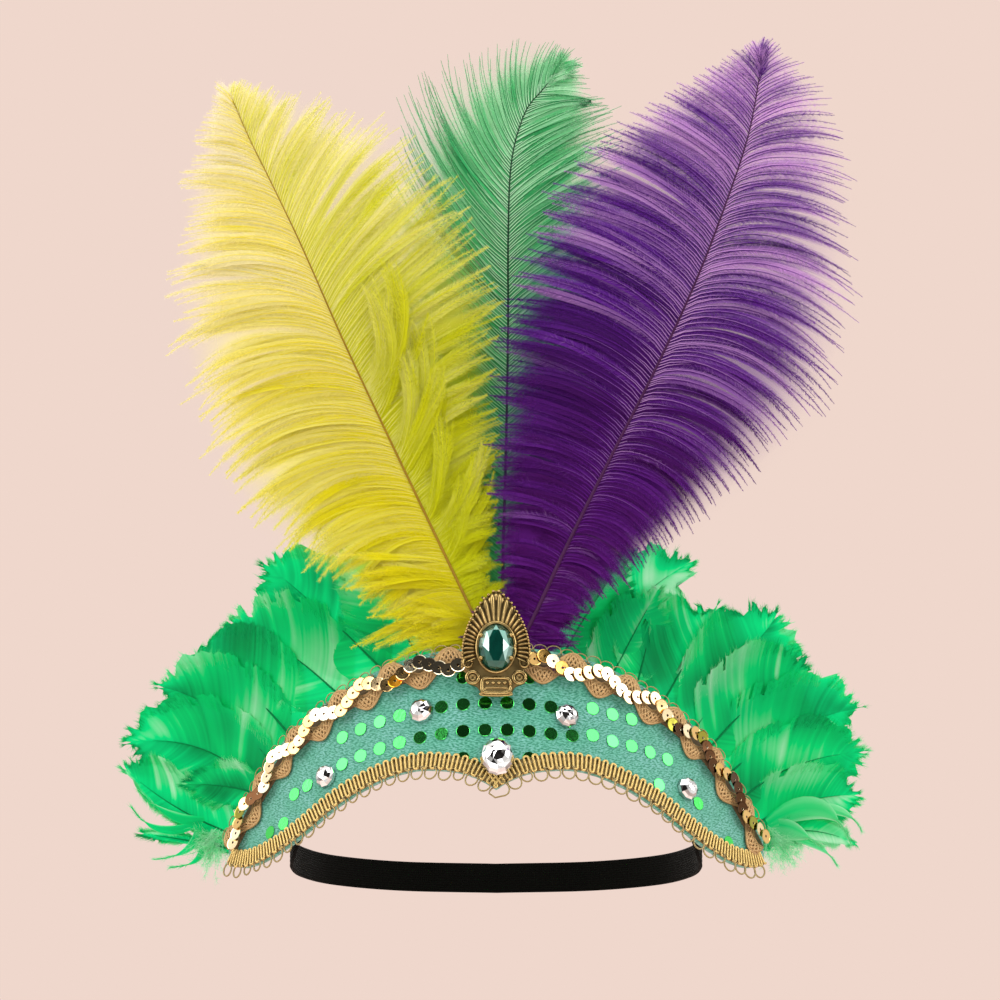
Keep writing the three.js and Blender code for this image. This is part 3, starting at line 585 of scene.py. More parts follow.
class EdgeLine:
    """One edge of the band, measured along its length."""

    samples = 1200
    step = 0.6

    def __init__(self, edge, reach):
        x = np.linspace(-reach, reach, self.samples)
        self.points = band_points(x, edge_heights(edge, x))
        self.along = run_along(self.points)
        self.length = self.along[-1]
        self.inward = 1 if edge == HIGH else -1

    def at(self, s):
        """Points of the edge at distances along it."""
        s = np.clip(s, 0, self.length)
        return np.stack([np.interp(s, self.along, self.points[:, c]) for c in range(3)], -1)

    def frames(self, s, inset, lift):
        """Places at a distance along the edge, inset and lift, with the edge's direction there,
        the direction into the band and the face's normal."""
        s = np.asarray(s, float)
        here = self.at(s)
        along = unit(self.at(s + self.step) - self.at(s - self.step))
        normal = band_normals(here[:, 0])
        inward = np.cross(along, normal) * self.inward
        moved = here + inward * np.broadcast_to(inset, s.shape)[:, None]
        place = band_points(moved[:, 0], moved[:, 2], np.broadcast_to(lift, s.shape))
        return place, along, inward, band_normals(moved[:, 0])


TOP_EDGE = EdgeLine(HIGH, BAND_HALF - BRAID_END_CLEAR)
LOW_EDGE = EdgeLine(LOW, LOW_BRAID_REACH)


def wave_phase(s):
    """Phase of the top braid's wave at a distance along the upper edge."""
    return (s - TOP_EDGE.length / 2) / BRAID_WAVE * 2 * math.pi


# Meshes

def deselect_all():
    """Leaves object mode with nothing selected."""
    if bpy.context.object and bpy.context.object.mode != "OBJECT":
        bpy.ops.object.mode_set(mode="OBJECT")
    bpy.ops.object.select_all(action="DESELECT")


def finish_piece(piece, material, nodes=()):
    """Gives a piece its material and its body, and hides the CAD nodes that it stands for."""
    piece.data.materials.clear()
    piece.data.materials.append(material)
    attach(piece, BODY)
    if nodes:
        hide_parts(*nodes)
    return piece


class MeshParts:
    """Vertices in millimetres and triangles gathered from many small shapes, with an attribute."""

    def __init__(self):
        self.vertices = []
        self.triangles = []
        self.values = []
        self.count = 0

    def add(self, vertices, triangles, values=None):
        """Adds one shape or a batch of them."""
        vertices = np.asarray(vertices, float).reshape(-1, 3)
        self.vertices.append(vertices)
        self.triangles.append(np.asarray(triangles, int).reshape(-1, 3) + self.count)
        if values is not None:
            self.values.append(np.asarray(values, float).reshape(len(vertices), -1))
        self.count += len(vertices)

    def piece(self, name, attribute="tone", smooth=True):
        """The gathered shapes as one object, with one attribute, or one for each name."""
        vertices = np.concatenate(self.vertices) * MM
        triangles = np.concatenate(self.triangles)
        mesh = bpy.data.meshes.new(name)
        mesh.vertices.add(len(vertices))
        mesh.vertices.foreach_set("co", vertices.astype(np.float32).ravel())
        mesh.loops.add(triangles.size)
        mesh.loops.foreach_set("vertex_index", triangles.astype(np.int32).ravel())
        mesh.polygons.add(len(triangles))
        mesh.polygons.foreach_set("loop_start", np.arange(0, triangles.size, 3, dtype=np.int32))
        mesh.polygons.foreach_set("use_smooth", np.full(len(triangles), smooth))
        if self.values and isinstance(attribute, tuple):
            for label, column in zip(attribute, np.concatenate(self.values).T):
                write_attribute(mesh, label, column[:, None])
        elif self.values:
            write_attribute(mesh, attribute, np.concatenate(self.values))
        mesh.update(calc_edges=True)
        mesh.validate()
        piece = bpy.data.objects.new(name, mesh)
        bpy.context.scene.collection.objects.link(piece)
        return piece


def loose_triangles(count):
    """Triangles that share no vertices."""
    return np.arange(count * 3).reshape(-1, 3)


def write_attribute(mesh, name, values):
    """Stores one number, or a vector, at each vertex."""
    if values.shape[1] == 1:
        layer = mesh.attributes.new(name, "FLOAT", "POINT")
        layer.data.foreach_set("value", values.astype(np.float32).ravel())
    else:
        layer = mesh.attributes.new(name, "FLOAT_VECTOR", "POINT")
        layer.data.foreach_set("vector", values.astype(np.float32).ravel())


def grid_triangles(rows, columns, wrap=False):
    """Triangles of a grid of vertices counted row by row, closed across its columns if wrapped."""
    across = columns if wrap else columns - 1
    r, c = np.meshgrid(np.arange(rows - 1), np.arange(across), indexing="ij")
    a = (r * columns + c).ravel()
    b = (r * columns + (c + 1) % columns).ravel()
    first = np.stack([a, b, b + columns], 1)
    second = np.stack([a, b + columns, a + columns], 1)
    return np.concatenate([first, second])


def cord_shape(path, normals, radius, sides=6):
    """A round cord along a path: vertices, triangles, and at each vertex the run along it and the turn
    round it."""
    path = np.asarray(path, float)
    tangent = unit(np.gradient(path, axis=0))
    across = unit(np.cross(tangent, normals))
    up = np.cross(across, tangent)
    angles = np.arange(sides) / sides * 2 * math.pi + math.pi
    ring = np.cos(angles)[None, :, None] * up[:, None] + np.sin(angles)[None, :, None] * across[:, None]
    radius = np.broadcast_to(radius, len(path))[:, None, None]
    vertices = path[:, None] + ring * radius
    run = run_along(path)
    values = np.stack(np.broadcast_arrays(run[:, None], np.arange(sides)[None] / sides, 0.0), -1)
    triangles = grid_triangles(len(path), sides, wrap=True)
    fan = np.stack([np.zeros(sides - 2, int), np.arange(2, sides), np.arange(1, sides - 1)], 1)
    caps = np.concatenate([fan, fan[:, ::-1] + (len(path) - 1) * sides])
    return vertices.reshape(-1, 3), np.concatenate([triangles, caps])[:, ::-1], values.reshape(-1, 3)


def add_cord(parts, *cord, **options):
    """Adds a round cord with its run and turn."""
    parts.add(*cord_shape(*cord, **options))


def take_shape(piece):
    """The vertices (millimetres) and triangles of a modelled shape, which is then removed."""
    mesh = piece.data
    mesh.calc_loop_triangles()
    vertices = np.array([v.co for v in mesh.vertices]) / MM
    triangles = np.array([t.vertices for t in mesh.loop_triangles])
    bpy.data.objects.remove(piece, do_unlink=True)
    bpy.data.meshes.remove(mesh)
    return vertices, triangles


def add_copies(parts, shape, places, right, up, out, values=None):
    """Adds a copy of a shape at each place, with its X, Y and Z turned to the given directions and
    a value for each copy or for each of its vertices."""
    vertices, triangles = shape
    axes = np.stack([right, up, out], 1)
    copies = places[:, None] + np.einsum("vk,nkc->nvc", vertices, axes)
    count = len(vertices)
    shifted = triangles[None] + np.arange(len(places))[:, None, None] * count
    if values is not None and len(values) == len(places):
        values = np.repeat(values, count)
    parts.add(copies, shifted, values)


def sheet_piece(name, front, back, uv):
    """A closed sheet from two grids of points (millimetres), with a UV map in millimetres."""
    rows, columns = front.shape[:2]
    count = rows * columns
    faces = grid_triangles(rows, columns)
    rim = np.concatenate([
        np.arange(columns),
        np.arange(1, rows) * columns + columns - 1,
        (rows - 1) * columns + np.arange(columns - 2, -1, -1),
        np.arange(rows - 2, 0, -1) * columns,
    ])
    following = np.roll(rim, -1)
    edge = np.concatenate([
        np.stack([rim, rim + count, following + count], 1),
        np.stack([rim, following + count, following], 1),
    ])
    parts = MeshParts()
    triangles = np.concatenate([faces, faces[:, ::-1] + count, edge])
    parts.add(np.concatenate([front.reshape(-1, 3), back.reshape(-1, 3)]), triangles)
    piece = parts.piece(name)
    flat = np.concatenate([uv.reshape(-1, 2)] * 2)
    layer = piece.data.uv_layers.new(name="cloth")
    corner = np.empty(len(piece.data.loops), np.int32)
    piece.data.loops.foreach_get("vertex_index", corner)
    layer.data.foreach_set("uv", flat[corner].astype(np.float32).ravel())
    return piece


# Shader node groups

# Heights (metres) between which a plume's foot colour comes in, and how much of it. The foot colours
# of the purple and yellow plumes are darker and deeper than their main colours, partly as painted
# shade near the band.
FOOT_TOP = 0.2
FOOT_LOW = 0.075
FOOT_SHARE = 0.65


def new_group(name, inputs, outputs):
    """An empty shader node group with the named sockets, and its input and output nodes."""
    group = bpy.data.node_groups.new(name, "ShaderNodeTree")
    for label, kind, value in inputs:
        socket = group.interface.new_socket(label, in_out="INPUT", socket_type=kind)
        socket.default_value = value
    for label, kind in outputs:
        group.interface.new_socket(label, in_out="OUTPUT", socket_type=kind)
    return group, group.nodes.new("NodeGroupInput"), group.nodes.new("NodeGroupOutput")


def math_node(tree, operation, first, second=None, third=None, clamp=False):
    """A Math node fed by sockets or numbers; gives its output."""
    node = tree.nodes.new("ShaderNodeMath")
    node.operation = operation
    node.use_clamp = clamp
    for socket, value in zip(node.inputs, (first, second, third)):
        if hasattr(value, "is_linked"):
            tree.links.new(value, socket)
        elif value is not None:
            socket.default_value = value
    return node.outputs[0]


def mix_colours(tree, share, first, second):
    """A colour mix fed by sockets or colours; gives its output."""
    node = tree.nodes.new("ShaderNodeMix")
    node.data_type = "RGBA"
    for socket, value in zip((node.inputs[0], node.inputs[6], node.inputs[7]), (share, first, second)):
        if hasattr(value, "is_linked"):
            tree.links.new(value, socket)
        elif isinstance(value, (int, float)):
            socket.default_value = value
        else:
            socket.default_value = (*value, 1)
    return node.outputs[2]


def ranged(tree, value, low, high, to_low=0.0, to_high=1.0, interpolation="LINEAR"):
    """A socket's value from low to high, brought to another range."""
    node = tree.nodes.new("ShaderNodeMapRange")
    node.interpolation_type = interpolation
    for label, number in zip(("From Min", "From Max", "To Min", "To Max"), (low, high, to_low, to_high)):
        node.inputs[label].default_value = number
    tree.links.new(value, node.inputs["Value"])
    return node.outputs[0]


def split_axes(tree, vector):
    """The X, Y and Z of a vector socket."""
    node = tree.nodes.new("ShaderNodeSeparateXYZ")
    tree.links.new(vector, node.inputs[0])
    return node.outputs


def noise_node(tree, scale, detail, vector=None):
    """A noise texture on a vector, or else on Object coordinates; gives its value output."""
    if vector is None:
        vector = object_place(tree)
    node = tree.nodes.new("ShaderNodeTexNoise")
    node.inputs["Scale"].default_value = scale
    node.inputs["Detail"].default_value = detail
    tree.links.new(vector, node.inputs["Vector"])
    return node.outputs[0]


def object_place(tree):
    """Object coordinates."""
    return tree.nodes.new("ShaderNodeTexCoord").outputs["Object"]


def cloth_uv(tree):
    """The UV map of a sheet, in millimetres."""
    node = tree.nodes.new("ShaderNodeUVMap")
    node.uv_map = "cloth"
    return node.outputs[0]


def point_value(tree, name, kind="Fac"):
    """A mesh attribute as a number, or as another kind of output."""
    node = tree.nodes.new("ShaderNodeAttribute")
    node.attribute_name = name
    return node.outputs[kind]


def barb_tint_group():
    """Colour from a barb's tone: from a dark colour, painted shade, through the plume's colour to a pale
    one, painted highlight, and near the plume's foot towards a darker foot colour, partly painted shade:
    colour.
    """
    name = "barb_tint"
    if name in bpy.data.node_groups:
        return bpy.data.node_groups[name]
    colours = [(label, "NodeSocketColor", (1, 1, 1, 1)) for label in ("Dark Dye and Painted Shade", "Middle", "End", "Foot")]
    inputs = [*colours, ("Foot Share", "NodeSocketFloat", 0.0)]
    tree, given, result = new_group(name, inputs, [("Colour", "NodeSocketColor")])
    tone = point_value(tree, "tone")
    low = math_node(tree, "MULTIPLY", tone, 2.0, clamp=True)
    high = math_node(tree, "MULTIPLY_ADD", tone, 2.0, -1.0, clamp=True)
    inner = mix_colours(tree, low, given.outputs["Dark Dye and Painted Shade"], given.outputs["Middle"])
    outer = mix_colours(tree, high, inner, given.outputs["End"])
    foot = ranged(tree, split_axes(tree, object_place(tree))["Z"], FOOT_TOP, FOOT_LOW)
    near = math_node(tree, "MULTIPLY", foot, given.outputs["Foot Share"])
    dye_with_painted_light = mix_colours(tree, near, outer, given.outputs["Foot"])
    tree.links.new(dye_with_painted_light, result.inputs["Colour"])
    return tree


def thread_twist_group():
    """Twist of a cord from its run and turn: height, and a painted shade that is low between the plies
    and 0 on the tape, so that the tape shows dark between the cords."""
    name = "thread_twist"
    if name in bpy.data.node_groups:
        return bpy.data.node_groups[name]
    tree, given, result = new_group(
        name,
        [("Plies per mm", "NodeSocketFloat", 1.2)],
        [("Height", "NodeSocketFloat"), ("Shade", "NodeSocketFloat")])
    thread = split_axes(tree, point_value(tree, "thread", "Vector"))
    run = math_node(tree, "MULTIPLY", thread["X"], given.outputs["Plies per mm"])
    turns = math_node(tree, "ADD", run, thread["Y"])
    wave = math_node(tree, "SINE", math_node(tree, "MULTIPLY", turns, 2 * math.pi))
    # Painted shade: lower between the plies, and 0 on the tape that the third value marks
    shade = math_node(tree, "MULTIPLY_ADD", wave, 0.35, 0.65)
    lit = math_node(tree, "SUBTRACT", shade, thread["Z"], clamp=True)
    tree.links.new(wave, result.inputs["Height"])
    tree.links.new(lit, result.inputs["Shade"])
    return tree


# Materials

def new_material(name, **values):
    """A material with one Principled shader, its plain values set on its own sockets."""
    material = bpy.data.materials.new(name)
    material.use_nodes = True
    shader = material.node_tree.nodes["Principled BSDF"]
    for label, value in values.items():
        shader.inputs[label.replace("_", " ")].default_value = value
    return material, material.node_tree, shader


def add_bump(tree, shader, height, strength, distance):
    """Bump from a height socket into the shader's normal."""
    bump = tree.nodes.new("ShaderNodeBump")
    bump.inputs["Strength"].default_value = strength
    bump.inputs["Distance"].default_value = distance
    tree.links.new(height, bump.inputs["Height"])
    tree.links.new(bump.outputs[0], shader.inputs["Normal"])


def paint(tree, shader, share, first, second):
    """A mix of two colours as the shader's base colour."""
    tree.links.new(mix_colours(tree, share, first, second), shader.inputs["Base Color"])


def shaded(colour, share):
    """A colour made darker or lighter by a factor."""
    return tuple(min(1.0, channel * share) for channel in colour)


def toward(colour, other, share):
    """A colour moved towards another."""
    return tuple(a + (b - a) * share for a, b in zip(colour, other))


def plumage_material(name, dyes_and_painted_light, through, foot=0.0, web=False):
    """Barbs in the plume's colour with painted shade and painted highlight: a soft surface that lets some
    light through, and in the web also the view.
    """
    material, tree, shader = new_material(name, Roughness=0.75, Specular_IOR_Level=0.12)
    tint = tree.nodes.new("ShaderNodeGroup")
    tint.node_tree = barb_tint_group()
    for label, colour in zip(("Dark Dye and Painted Shade", "Middle", "End", "Foot"), dyes_and_painted_light):
        tint.inputs[label].default_value = (*colour, 1)
    tint.inputs["Foot Share"].default_value = foot
    tree.links.new(tint.outputs["Colour"], shader.inputs["Base Color"])
    glow = tree.nodes.new("ShaderNodeBsdfTranslucent")
    tree.links.new(tint.outputs["Colour"], glow.inputs["Color"])
    mix = tree.nodes.new("ShaderNodeMixShader")
    mix.inputs[0].default_value = through
    if web:
        cover = point_value(tree, "cover")
        tree.links.new(cover, shader.inputs["Alpha"])
        tree.links.new(math_node(tree, "MULTIPLY", cover, through), mix.inputs[0])
    tree.links.new(shader.outputs[0], mix.inputs[1])
    tree.links.new(glow.outputs[0], mix.inputs[2])
    tree.links.new(mix.outputs[0], tree.nodes["Material Output"].inputs["Surface"])
    return material


def cloth_material(colours):
    """Fine knitted ground with a bluish slub."""
    material, tree, shader = new_material("sequinned_cloth", Roughness=0.7, Sheen_Weight=0.25)
    uv = cloth_uv(tree)
    turned = tree.nodes.new("ShaderNodeMapping")
    turned.inputs["Scale"].default_value = (1.0, 2.4, 1.0)
    turned.inputs["Rotation"].default_value = (0, 0, math.radians(28))
    tree.links.new(uv, turned.inputs["Vector"])
    slub = noise_node(tree, scale=0.9, detail=3.0, vector=turned.outputs[0])
    patch = noise_node(tree, scale=0.12, detail=2.0, vector=uv)
    contrast = ranged(tree, slub, 0.42, 0.58)
    ground = tuple(colours.cloth)
    blue = linear(122, 176, 178)
    deep = linear(18, 118, 92)
    pale = mix_colours(tree, contrast, deep, ground)
    paint(tree, shader, math_node(tree, "MULTIPLY", contrast, patch), pale, blue)
    add_bump(tree, shader, slub, strength=0.5, distance=0.0004)
    return material


def foil_material(colours):
    """Green metal foil, a little creased."""
    material, tree, shader = new_material("green_foil", Metallic=1.0, Roughness=0.16)
    tone = point_value(tree, "tone")
    foil = tuple(colours.foil)
    paint(tree, shader, tone, shaded(foil, 0.7), foil)
    add_bump(tree, shader, noise_node(tree, scale=900, detail=1.0), strength=0.12, distance=0.0002)
    return material


def thread_material(name, colour, plies, roughness=0.38):
    """Twisted metallic thread, with painted shade between its plies and on its tape."""
    material, tree, shader = new_material(name, Metallic=0.55, Roughness=roughness)
    twist = tree.nodes.new("ShaderNodeGroup")
    twist.node_tree = thread_twist_group()
    twist.inputs["Plies per mm"].default_value = plies
    paint(tree, shader, twist.outputs["Shade"], shaded(colour, 0.2), colour)
    add_bump(tree, shader, twist.outputs["Height"], strength=0.25, distance=0.0001)
    return material


def sequin_material(colours):
    """Metallised discs from pale to deep gold, some of other colours, with groups painted dark brown as
    painted shade, and painted shade in each hole.
    """
    material, tree, shader = new_material("gold_sequins", Metallic=1.0, Roughness=0.13)
    tone = point_value(tree, "tone")
    tinted = mix_colours(tree, tone, linear(205, 160, 80), tuple(colours.sequin))
    # Dark brown is a painted shade on groups of sequins; olive and orange are sequins of those colours
    odd = {SHADED_BROWN_TONE: (78, 52, 32), OLIVE_TONE: (146, 142, 56), ORANGE_TONE: (232, 160, 44)}
    for dye_and_painted_light, screen in odd.items():
        tinted = mix_colours(tree, math_node(tree, "GREATER_THAN", tone, dye_and_painted_light - 0.5), tinted, linear(*screen))
    # Painted shade in the hole of each sequin
    paint(tree, shader, math_node(tree, "LESS_THAN", tone, HOLE_SHADE_EDGE), tinted, linear(40, 26, 14))
    add_bump(tree, shader, noise_node(tree, scale=700, detail=1.0), strength=0.05, distance=0.0002)
    return material


def brass_material(colours):
    """Antique brass: rubbed ridges over dark hollows."""
    material, tree, shader = new_material("antique_brass", Metallic=1.0)
    tone = point_value(tree, "tone")
    mottle = noise_node(tree, scale=420, detail=3.0)
    worn = math_node(tree, "MULTIPLY", tone, math_node(tree, "ADD", mottle, 0.55), clamp=True)
    brass = tuple(colours.brass)
    paint(tree, shader, worn, shaded(brass, 0.1), brass)
    tree.links.new(ranged(tree, worn, 0, 1, 0.5, 0.24), shader.inputs["Roughness"])
    add_bump(tree, shader, mottle, strength=0.15, distance=0.0002)
    return material


def stone_material(name, colour, coat, foil=1.0):
    """Foil-backed cut stone; facet tones are painted reflections, darker or lighter, and a tone over 1 gives
    a painted pale flash.
    """
    material, tree, shader = new_material(name, Metallic=foil, Roughness=0.04, Coat_Weight=coat)
    haze = noise_node(tree, scale=260, detail=2.0)
    # Each facet's tone is its painted reflection: darker or lighter, and over 1 a painted pale flash
    facet = point_value(tree, "tone")
    raised = math_node(tree, "ADD", facet, 0.3)
    lit = math_node(tree, "MULTIPLY", raised, math_node(tree, "ADD", haze, 0.5), clamp=True)
    flash = math_node(tree, "SUBTRACT", facet, 1.0, clamp=True)
    tinted = mix_colours(tree, lit, shaded(colour, 0.12), colour)
    paint(tree, shader, flash, tinted, linear(206, 244, 238))
    return material


def elastic_material(colours):
    """Woven elastic with fine ribs along its length, painted lighter on the ribs and darker between them as
    painted shade.
    """
    material, tree, shader = new_material("woven_elastic", Roughness=0.8, Specular_IOR_Level=0.06)
    flat = split_axes(tree, cloth_uv(tree))
    ribs = math_node(tree, "SINE", math_node(tree, "MULTIPLY", flat["X"], 2 * math.pi / 0.8))
    picks = math_node(tree, "SINE", math_node(tree, "MULTIPLY", flat["Y"], 2 * math.pi / 0.7))
    weave = math_node(tree, "ADD", ribs, math_node(tree, "MULTIPLY", picks, 0.4))
    black = tuple(colours.elastic)
    # Painted shade: darker between the ribs and picks, lighter on them, by the height that drives the bump
    paint(tree, shader, ranged(tree, weave, -1.4, 1.4), shaded(black, 0.4), shaded(black, 1.8))
    add_bump(tree, shader, weave, strength=0.5, distance=0.0003)
    return material


def floor_material(colours):
    """Pale floor with a faint mottle."""
    material, tree, shader = new_material("pale_floor", Roughness=0.9)
    pale = tuple(colours.backdrop)
    mottle = noise_node(tree, scale=3.0, detail=2.0)
    paint(tree, shader, mottle, shaded(pale, 0.97), pale)
    return material


# Stage

def add_camera():
    """The photograph's view: level, from in front."""
    data = bpy.data.cameras.new("photo_view")
    data.sensor_width = SENSOR
    data.lens = SENSOR * CAMERA_DISTANCE / PICTURE_SPAN
    camera = bpy.data.objects.new("photo_view", data)
    camera.location = Vector((CAMERA_X, BAND_FRONT_Y - CAMERA_DISTANCE, CAMERA_Z)) * MM
    camera.rotation_euler = (math.pi / 2, 0, 0)
    bpy.context.scene.collection.objects.link(camera)
    bpy.context.scene.camera = camera


# Softboxes: name, place, aim (metres), width, height, power, colour
SOFTBOXES = (
    ("softbox_left", (-1.4, -0.4, 0.85), (0, 0, 0.1), 1.3, 1.2, 17.5, (1.0, 0.98, 0.95)),
    ("softbox_right", (1.4, -0.4, 0.85), (0, 0, 0.1), 1.2, 1.0, 15.0, (1.0, 0.98, 0.95)),
    ("softbox_front", (0.1, -1.6, -0.15), (0, 0, 0.15), 1.2, 0.5, 7.0, (1.0, 0.98, 0.96)),
    ("softbox_top", (0, -0.35, 1.5), (0, 0, 0.1), 1.2, 0.8, 12.0, (1.0, 0.99, 0.97)),
    ("softbox_back", (0, 1.3, 0.7), (0, 0, 0.15), 1.4, 1.0, 9.0, (1.0, 0.98, 0.96)),
)


def add_softbox(name, place, aim, width, height, power, colour):
    """One large area light."""
    data = bpy.data.lights.new(name, "AREA")
    data.shape = "RECTANGLE"
    data.size = width
    data.size_y = height
    data.energy = power
    data.color = colour
    light = bpy.data.objects.new(name, data)
    light.location = place
    light.rotation_euler = (Vector(aim) - Vector(place)).to_track_quat("-Z", "Y").to_euler()
    light.visible_camera = False
    bpy.context.scene.collection.objects.link(light)


# The room that shiny pieces mirror: a dark patch in front and above, and a dimmer lower part that
# comes in between two heights
DARK_DIRECTION = (0.0, -0.72, 0.69)
LOW_FROM = (0.1, -0.25)
DARK_INNER = 0.83
DARK_OUTER = 0.77
AMBIENT = (0.62, 0.59, 0.57)
MIRRORED = (1.25, 1.2, 1.12)
MIRRORED_DARK = (0.03, 0.027, 0.024)
MIRRORED_LOW = (0.3, 0.25, 0.22)


def add_surroundings(colours):
    """A pale backdrop for the camera, and a soft room with a dark front for the reflections."""
    world = bpy.data.worlds.new("studio")
    bpy.context.scene.world = world
    world.use_nodes = True
    tree = world.node_tree
    tree.nodes.clear()
    direction = tree.nodes.new("ShaderNodeTexCoord").outputs["Generated"]
    facing = tree.nodes.new("ShaderNodeVectorMath")
    facing.operation = "DOT_PRODUCT"
    tree.links.new(direction, facing.inputs[0])
    facing.inputs[1].default_value = DARK_DIRECTION
    patch = ranged(tree, facing.outputs["Value"], DARK_OUTER, DARK_INNER, interpolation="SMOOTHSTEP")
    mirrored = mix_colours(tree, patch, MIRRORED, MIRRORED_DARK)
    below = ranged(tree, split_axes(tree, direction)["Z"], *LOW_FROM, interpolation="SMOOTHSTEP")
    mirrored = mix_colours(tree, below, mirrored, MIRRORED_LOW)
    ray = tree.nodes.new("ShaderNodeLightPath")
    room = mix_colours(tree, ray.outputs["Is Glossy Ray"], AMBIENT, mirrored)
    shown = mix_colours(tree, ray.outputs["Is Camera Ray"], room, tuple(colours.backdrop))
    background = tree.nodes.new("ShaderNodeBackground")
    tree.links.new(shown, background.inputs["Color"])
    output = tree.nodes.new("ShaderNodeOutputWorld")
    tree.links.new(background.outputs[0], output.inputs["Surface"])


FLOOR_Z = -0.5
FLOOR_RADIUS = 4.0


def add_floor(colours):
    """A pale floor, far enough below to stay out of the front view."""
    deselect_all()
    bpy.ops.mesh.primitive_circle_add(
        vertices=96, radius=FLOOR_RADIUS, fill_type="NGON", location=(0, 0, FLOOR_Z))
    floor = bpy.context.object
    floor.name = "floor"
    bpy.ops.object.transform_apply(location=True)
    floor.data.materials.append(floor_material(colours))


class HEADDRESS_OT_stage(bpy.types.Operator):
    """Set up the camera, the lights and the pale floor"""

    bl_idname = "headdress.stage"
    bl_label = "Stage"

    def execute(self, context):
        colours = context.scene.headdress_colours
        add_camera()
        for softbox in SOFTBOXES:
            add_softbox(*softbox)
        add_surroundings(colours)
        add_floor(colours)
        context.scene.view_settings.view_transform = "Standard"
        return {"FINISHED"}


# Band

BAND_COLUMNS = 181
BAND_ROWS = 25
BAND_TRIM = 2.0
# Rows of dots, counted downwards, with how far each one goes to the left and to the right
DOT_ROWS = ((-1, -25.0, 25.0), (0, -52.0, 48.0), (1, -52.0, 61.0), (2, -25.0, 25.0))
DOT_FIRST_ROW_Z = 53.4
DOT_MARGIN_LOW = 4.2
DOT_MARGIN_HIGH = 9.6
DOT_LIFT = 0.14
DOT_ROW_BEND = 0.56
DOT_ROW_DROOP = 1.5e-7
DOT_STONE_CLEAR = 5.2
# The rows run higher on the right: by this much from here on, and by this slope further out
DOT_RISE = 2.4
DOT_RISE_FROM = (22.0, 31.0)
DOT_RISE_SLOPE = 0.12
DOT_RISE_OUTER = 38.0
# Single dots at the band's ends (x, z)
END_DOTS = (
    (-62.6, 25.6), (-67.0, 22.6), (-70.6, 12.9), (-75.2, 9.8), (54.0, 26.0), (67.2, 19.6), (77.4, 6.4),
)
DOT_SLANT = 0.035
# Rim of a dot, as shares of its diameter: width and rise
DOT_RIM = (0.03, 0.02)
# Puckers beside the braids: height, reach into the cloth, and waves along and up the band
PUCKER = 0.16
PUCKER_REACH = 6.0
PUCKER_WAVES = (1.7, 0.9)


def band_piece():
    """The cloth wall, a little puckered along the braids, and its area in square metres."""
    x = np.linspace(BAND_TRIM - BAND_HALF, BAND_HALF - BAND_TRIM, BAND_COLUMNS)
    share = np.linspace(0, 1, BAND_ROWS)[:, None]
    low = edge_heights(LOW, x)
    high = edge_heights(HIGH, x)
    z = low + (high - low) * share
    grid_x = np.broadcast_to(x, z.shape)
    edge = 1 - np.minimum(1, np.minimum(z - low, high - z) / PUCKER_REACH)
    pucker = PUCKER * edge * np.sin(grid_x * PUCKER_WAVES[0]) * np.sin(z * PUCKER_WAVES[1])
    front = band_points(grid_x, z, pucker)
    back = band_points(grid_x, z, -BAND_WALL + pucker)
    run = run_along(np.stack([x, x * x / BAND_BOW], -1))
    uv = np.stack([np.broadcast_to(run, z.shape), z / math.cos(BAND_LEAN)], -1)
    piece = sheet_piece("band_cloth", front, back, uv)
    rising = front[1:, 1:] - front[:-1, :-1]
    falling = front[1:, :-1] - front[:-1, 1:]
    area = np.linalg.norm(np.cross(rising, falling), axis=-1).sum() / 2
    return piece, area * MM * MM


def dot_shape(diameter):
    """One foil dot: a thin disc, slightly domed."""
    deselect_all()
    bpy.ops.mesh.primitive_circle_add(vertices=18, radius=diameter / 2, fill_type="NGON")
    bpy.ops.object.mode_set(mode="EDIT")
    bpy.ops.mesh.inset(thickness=diameter * DOT_RIM[0], depth=diameter * DOT_RIM[1])
    bpy.ops.object.mode_set(mode="OBJECT")
    return take_shape(bpy.context.object)


def dot_places(sizes):
    """Places of the dots: straight rows of the flat cloth, bent with the band."""
    fine_x = np.linspace(-BAND_HALF, BAND_HALF, 2000)
    slope = 2 * fine_x / BAND_BOW * math.cos(BAND_LEAN)
    run = np.concatenate([[0], np.cumsum(np.sqrt(1 + slope[1:] ** 2) * np.diff(fine_x))])
    run -= run[-1] / 2
    pitch = sizes.dot_pitch / MM
    columns = int(run[-1] / pitch)
    along = (np.arange(-columns, columns + 2) - 0.5) * pitch
    x = np.interp(along, run, fine_x)
    fall = DOT_ROW_BEND * x * x / BAND_BOW + DOT_ROW_DROOP * x ** 4
    fall -= DOT_RISE * smooth_share(x, *DOT_RISE_FROM) + DOT_RISE_SLOPE * np.maximum(0, x - DOT_RISE_OUTER)
    found = [np.array(END_DOTS)]
    for row, left, right in DOT_ROWS:
        z = DOT_FIRST_ROW_Z - row * sizes.row_pitch / MM * math.cos(BAND_LEAN) - fall
        inside = (z > edge_heights(LOW, x) + DOT_MARGIN_LOW) & (z < edge_heights(HIGH, x) - DOT_MARGIN_HIGH)
        inside &= (x > left) & (x < right)
        for stone in STONES:
            inside &= np.hypot(x - stone[1], z - stone[2]) > DOT_STONE_CLEAR
        found.append(np.stack([x[inside], z[inside]], 1))
    return np.concatenate(found)


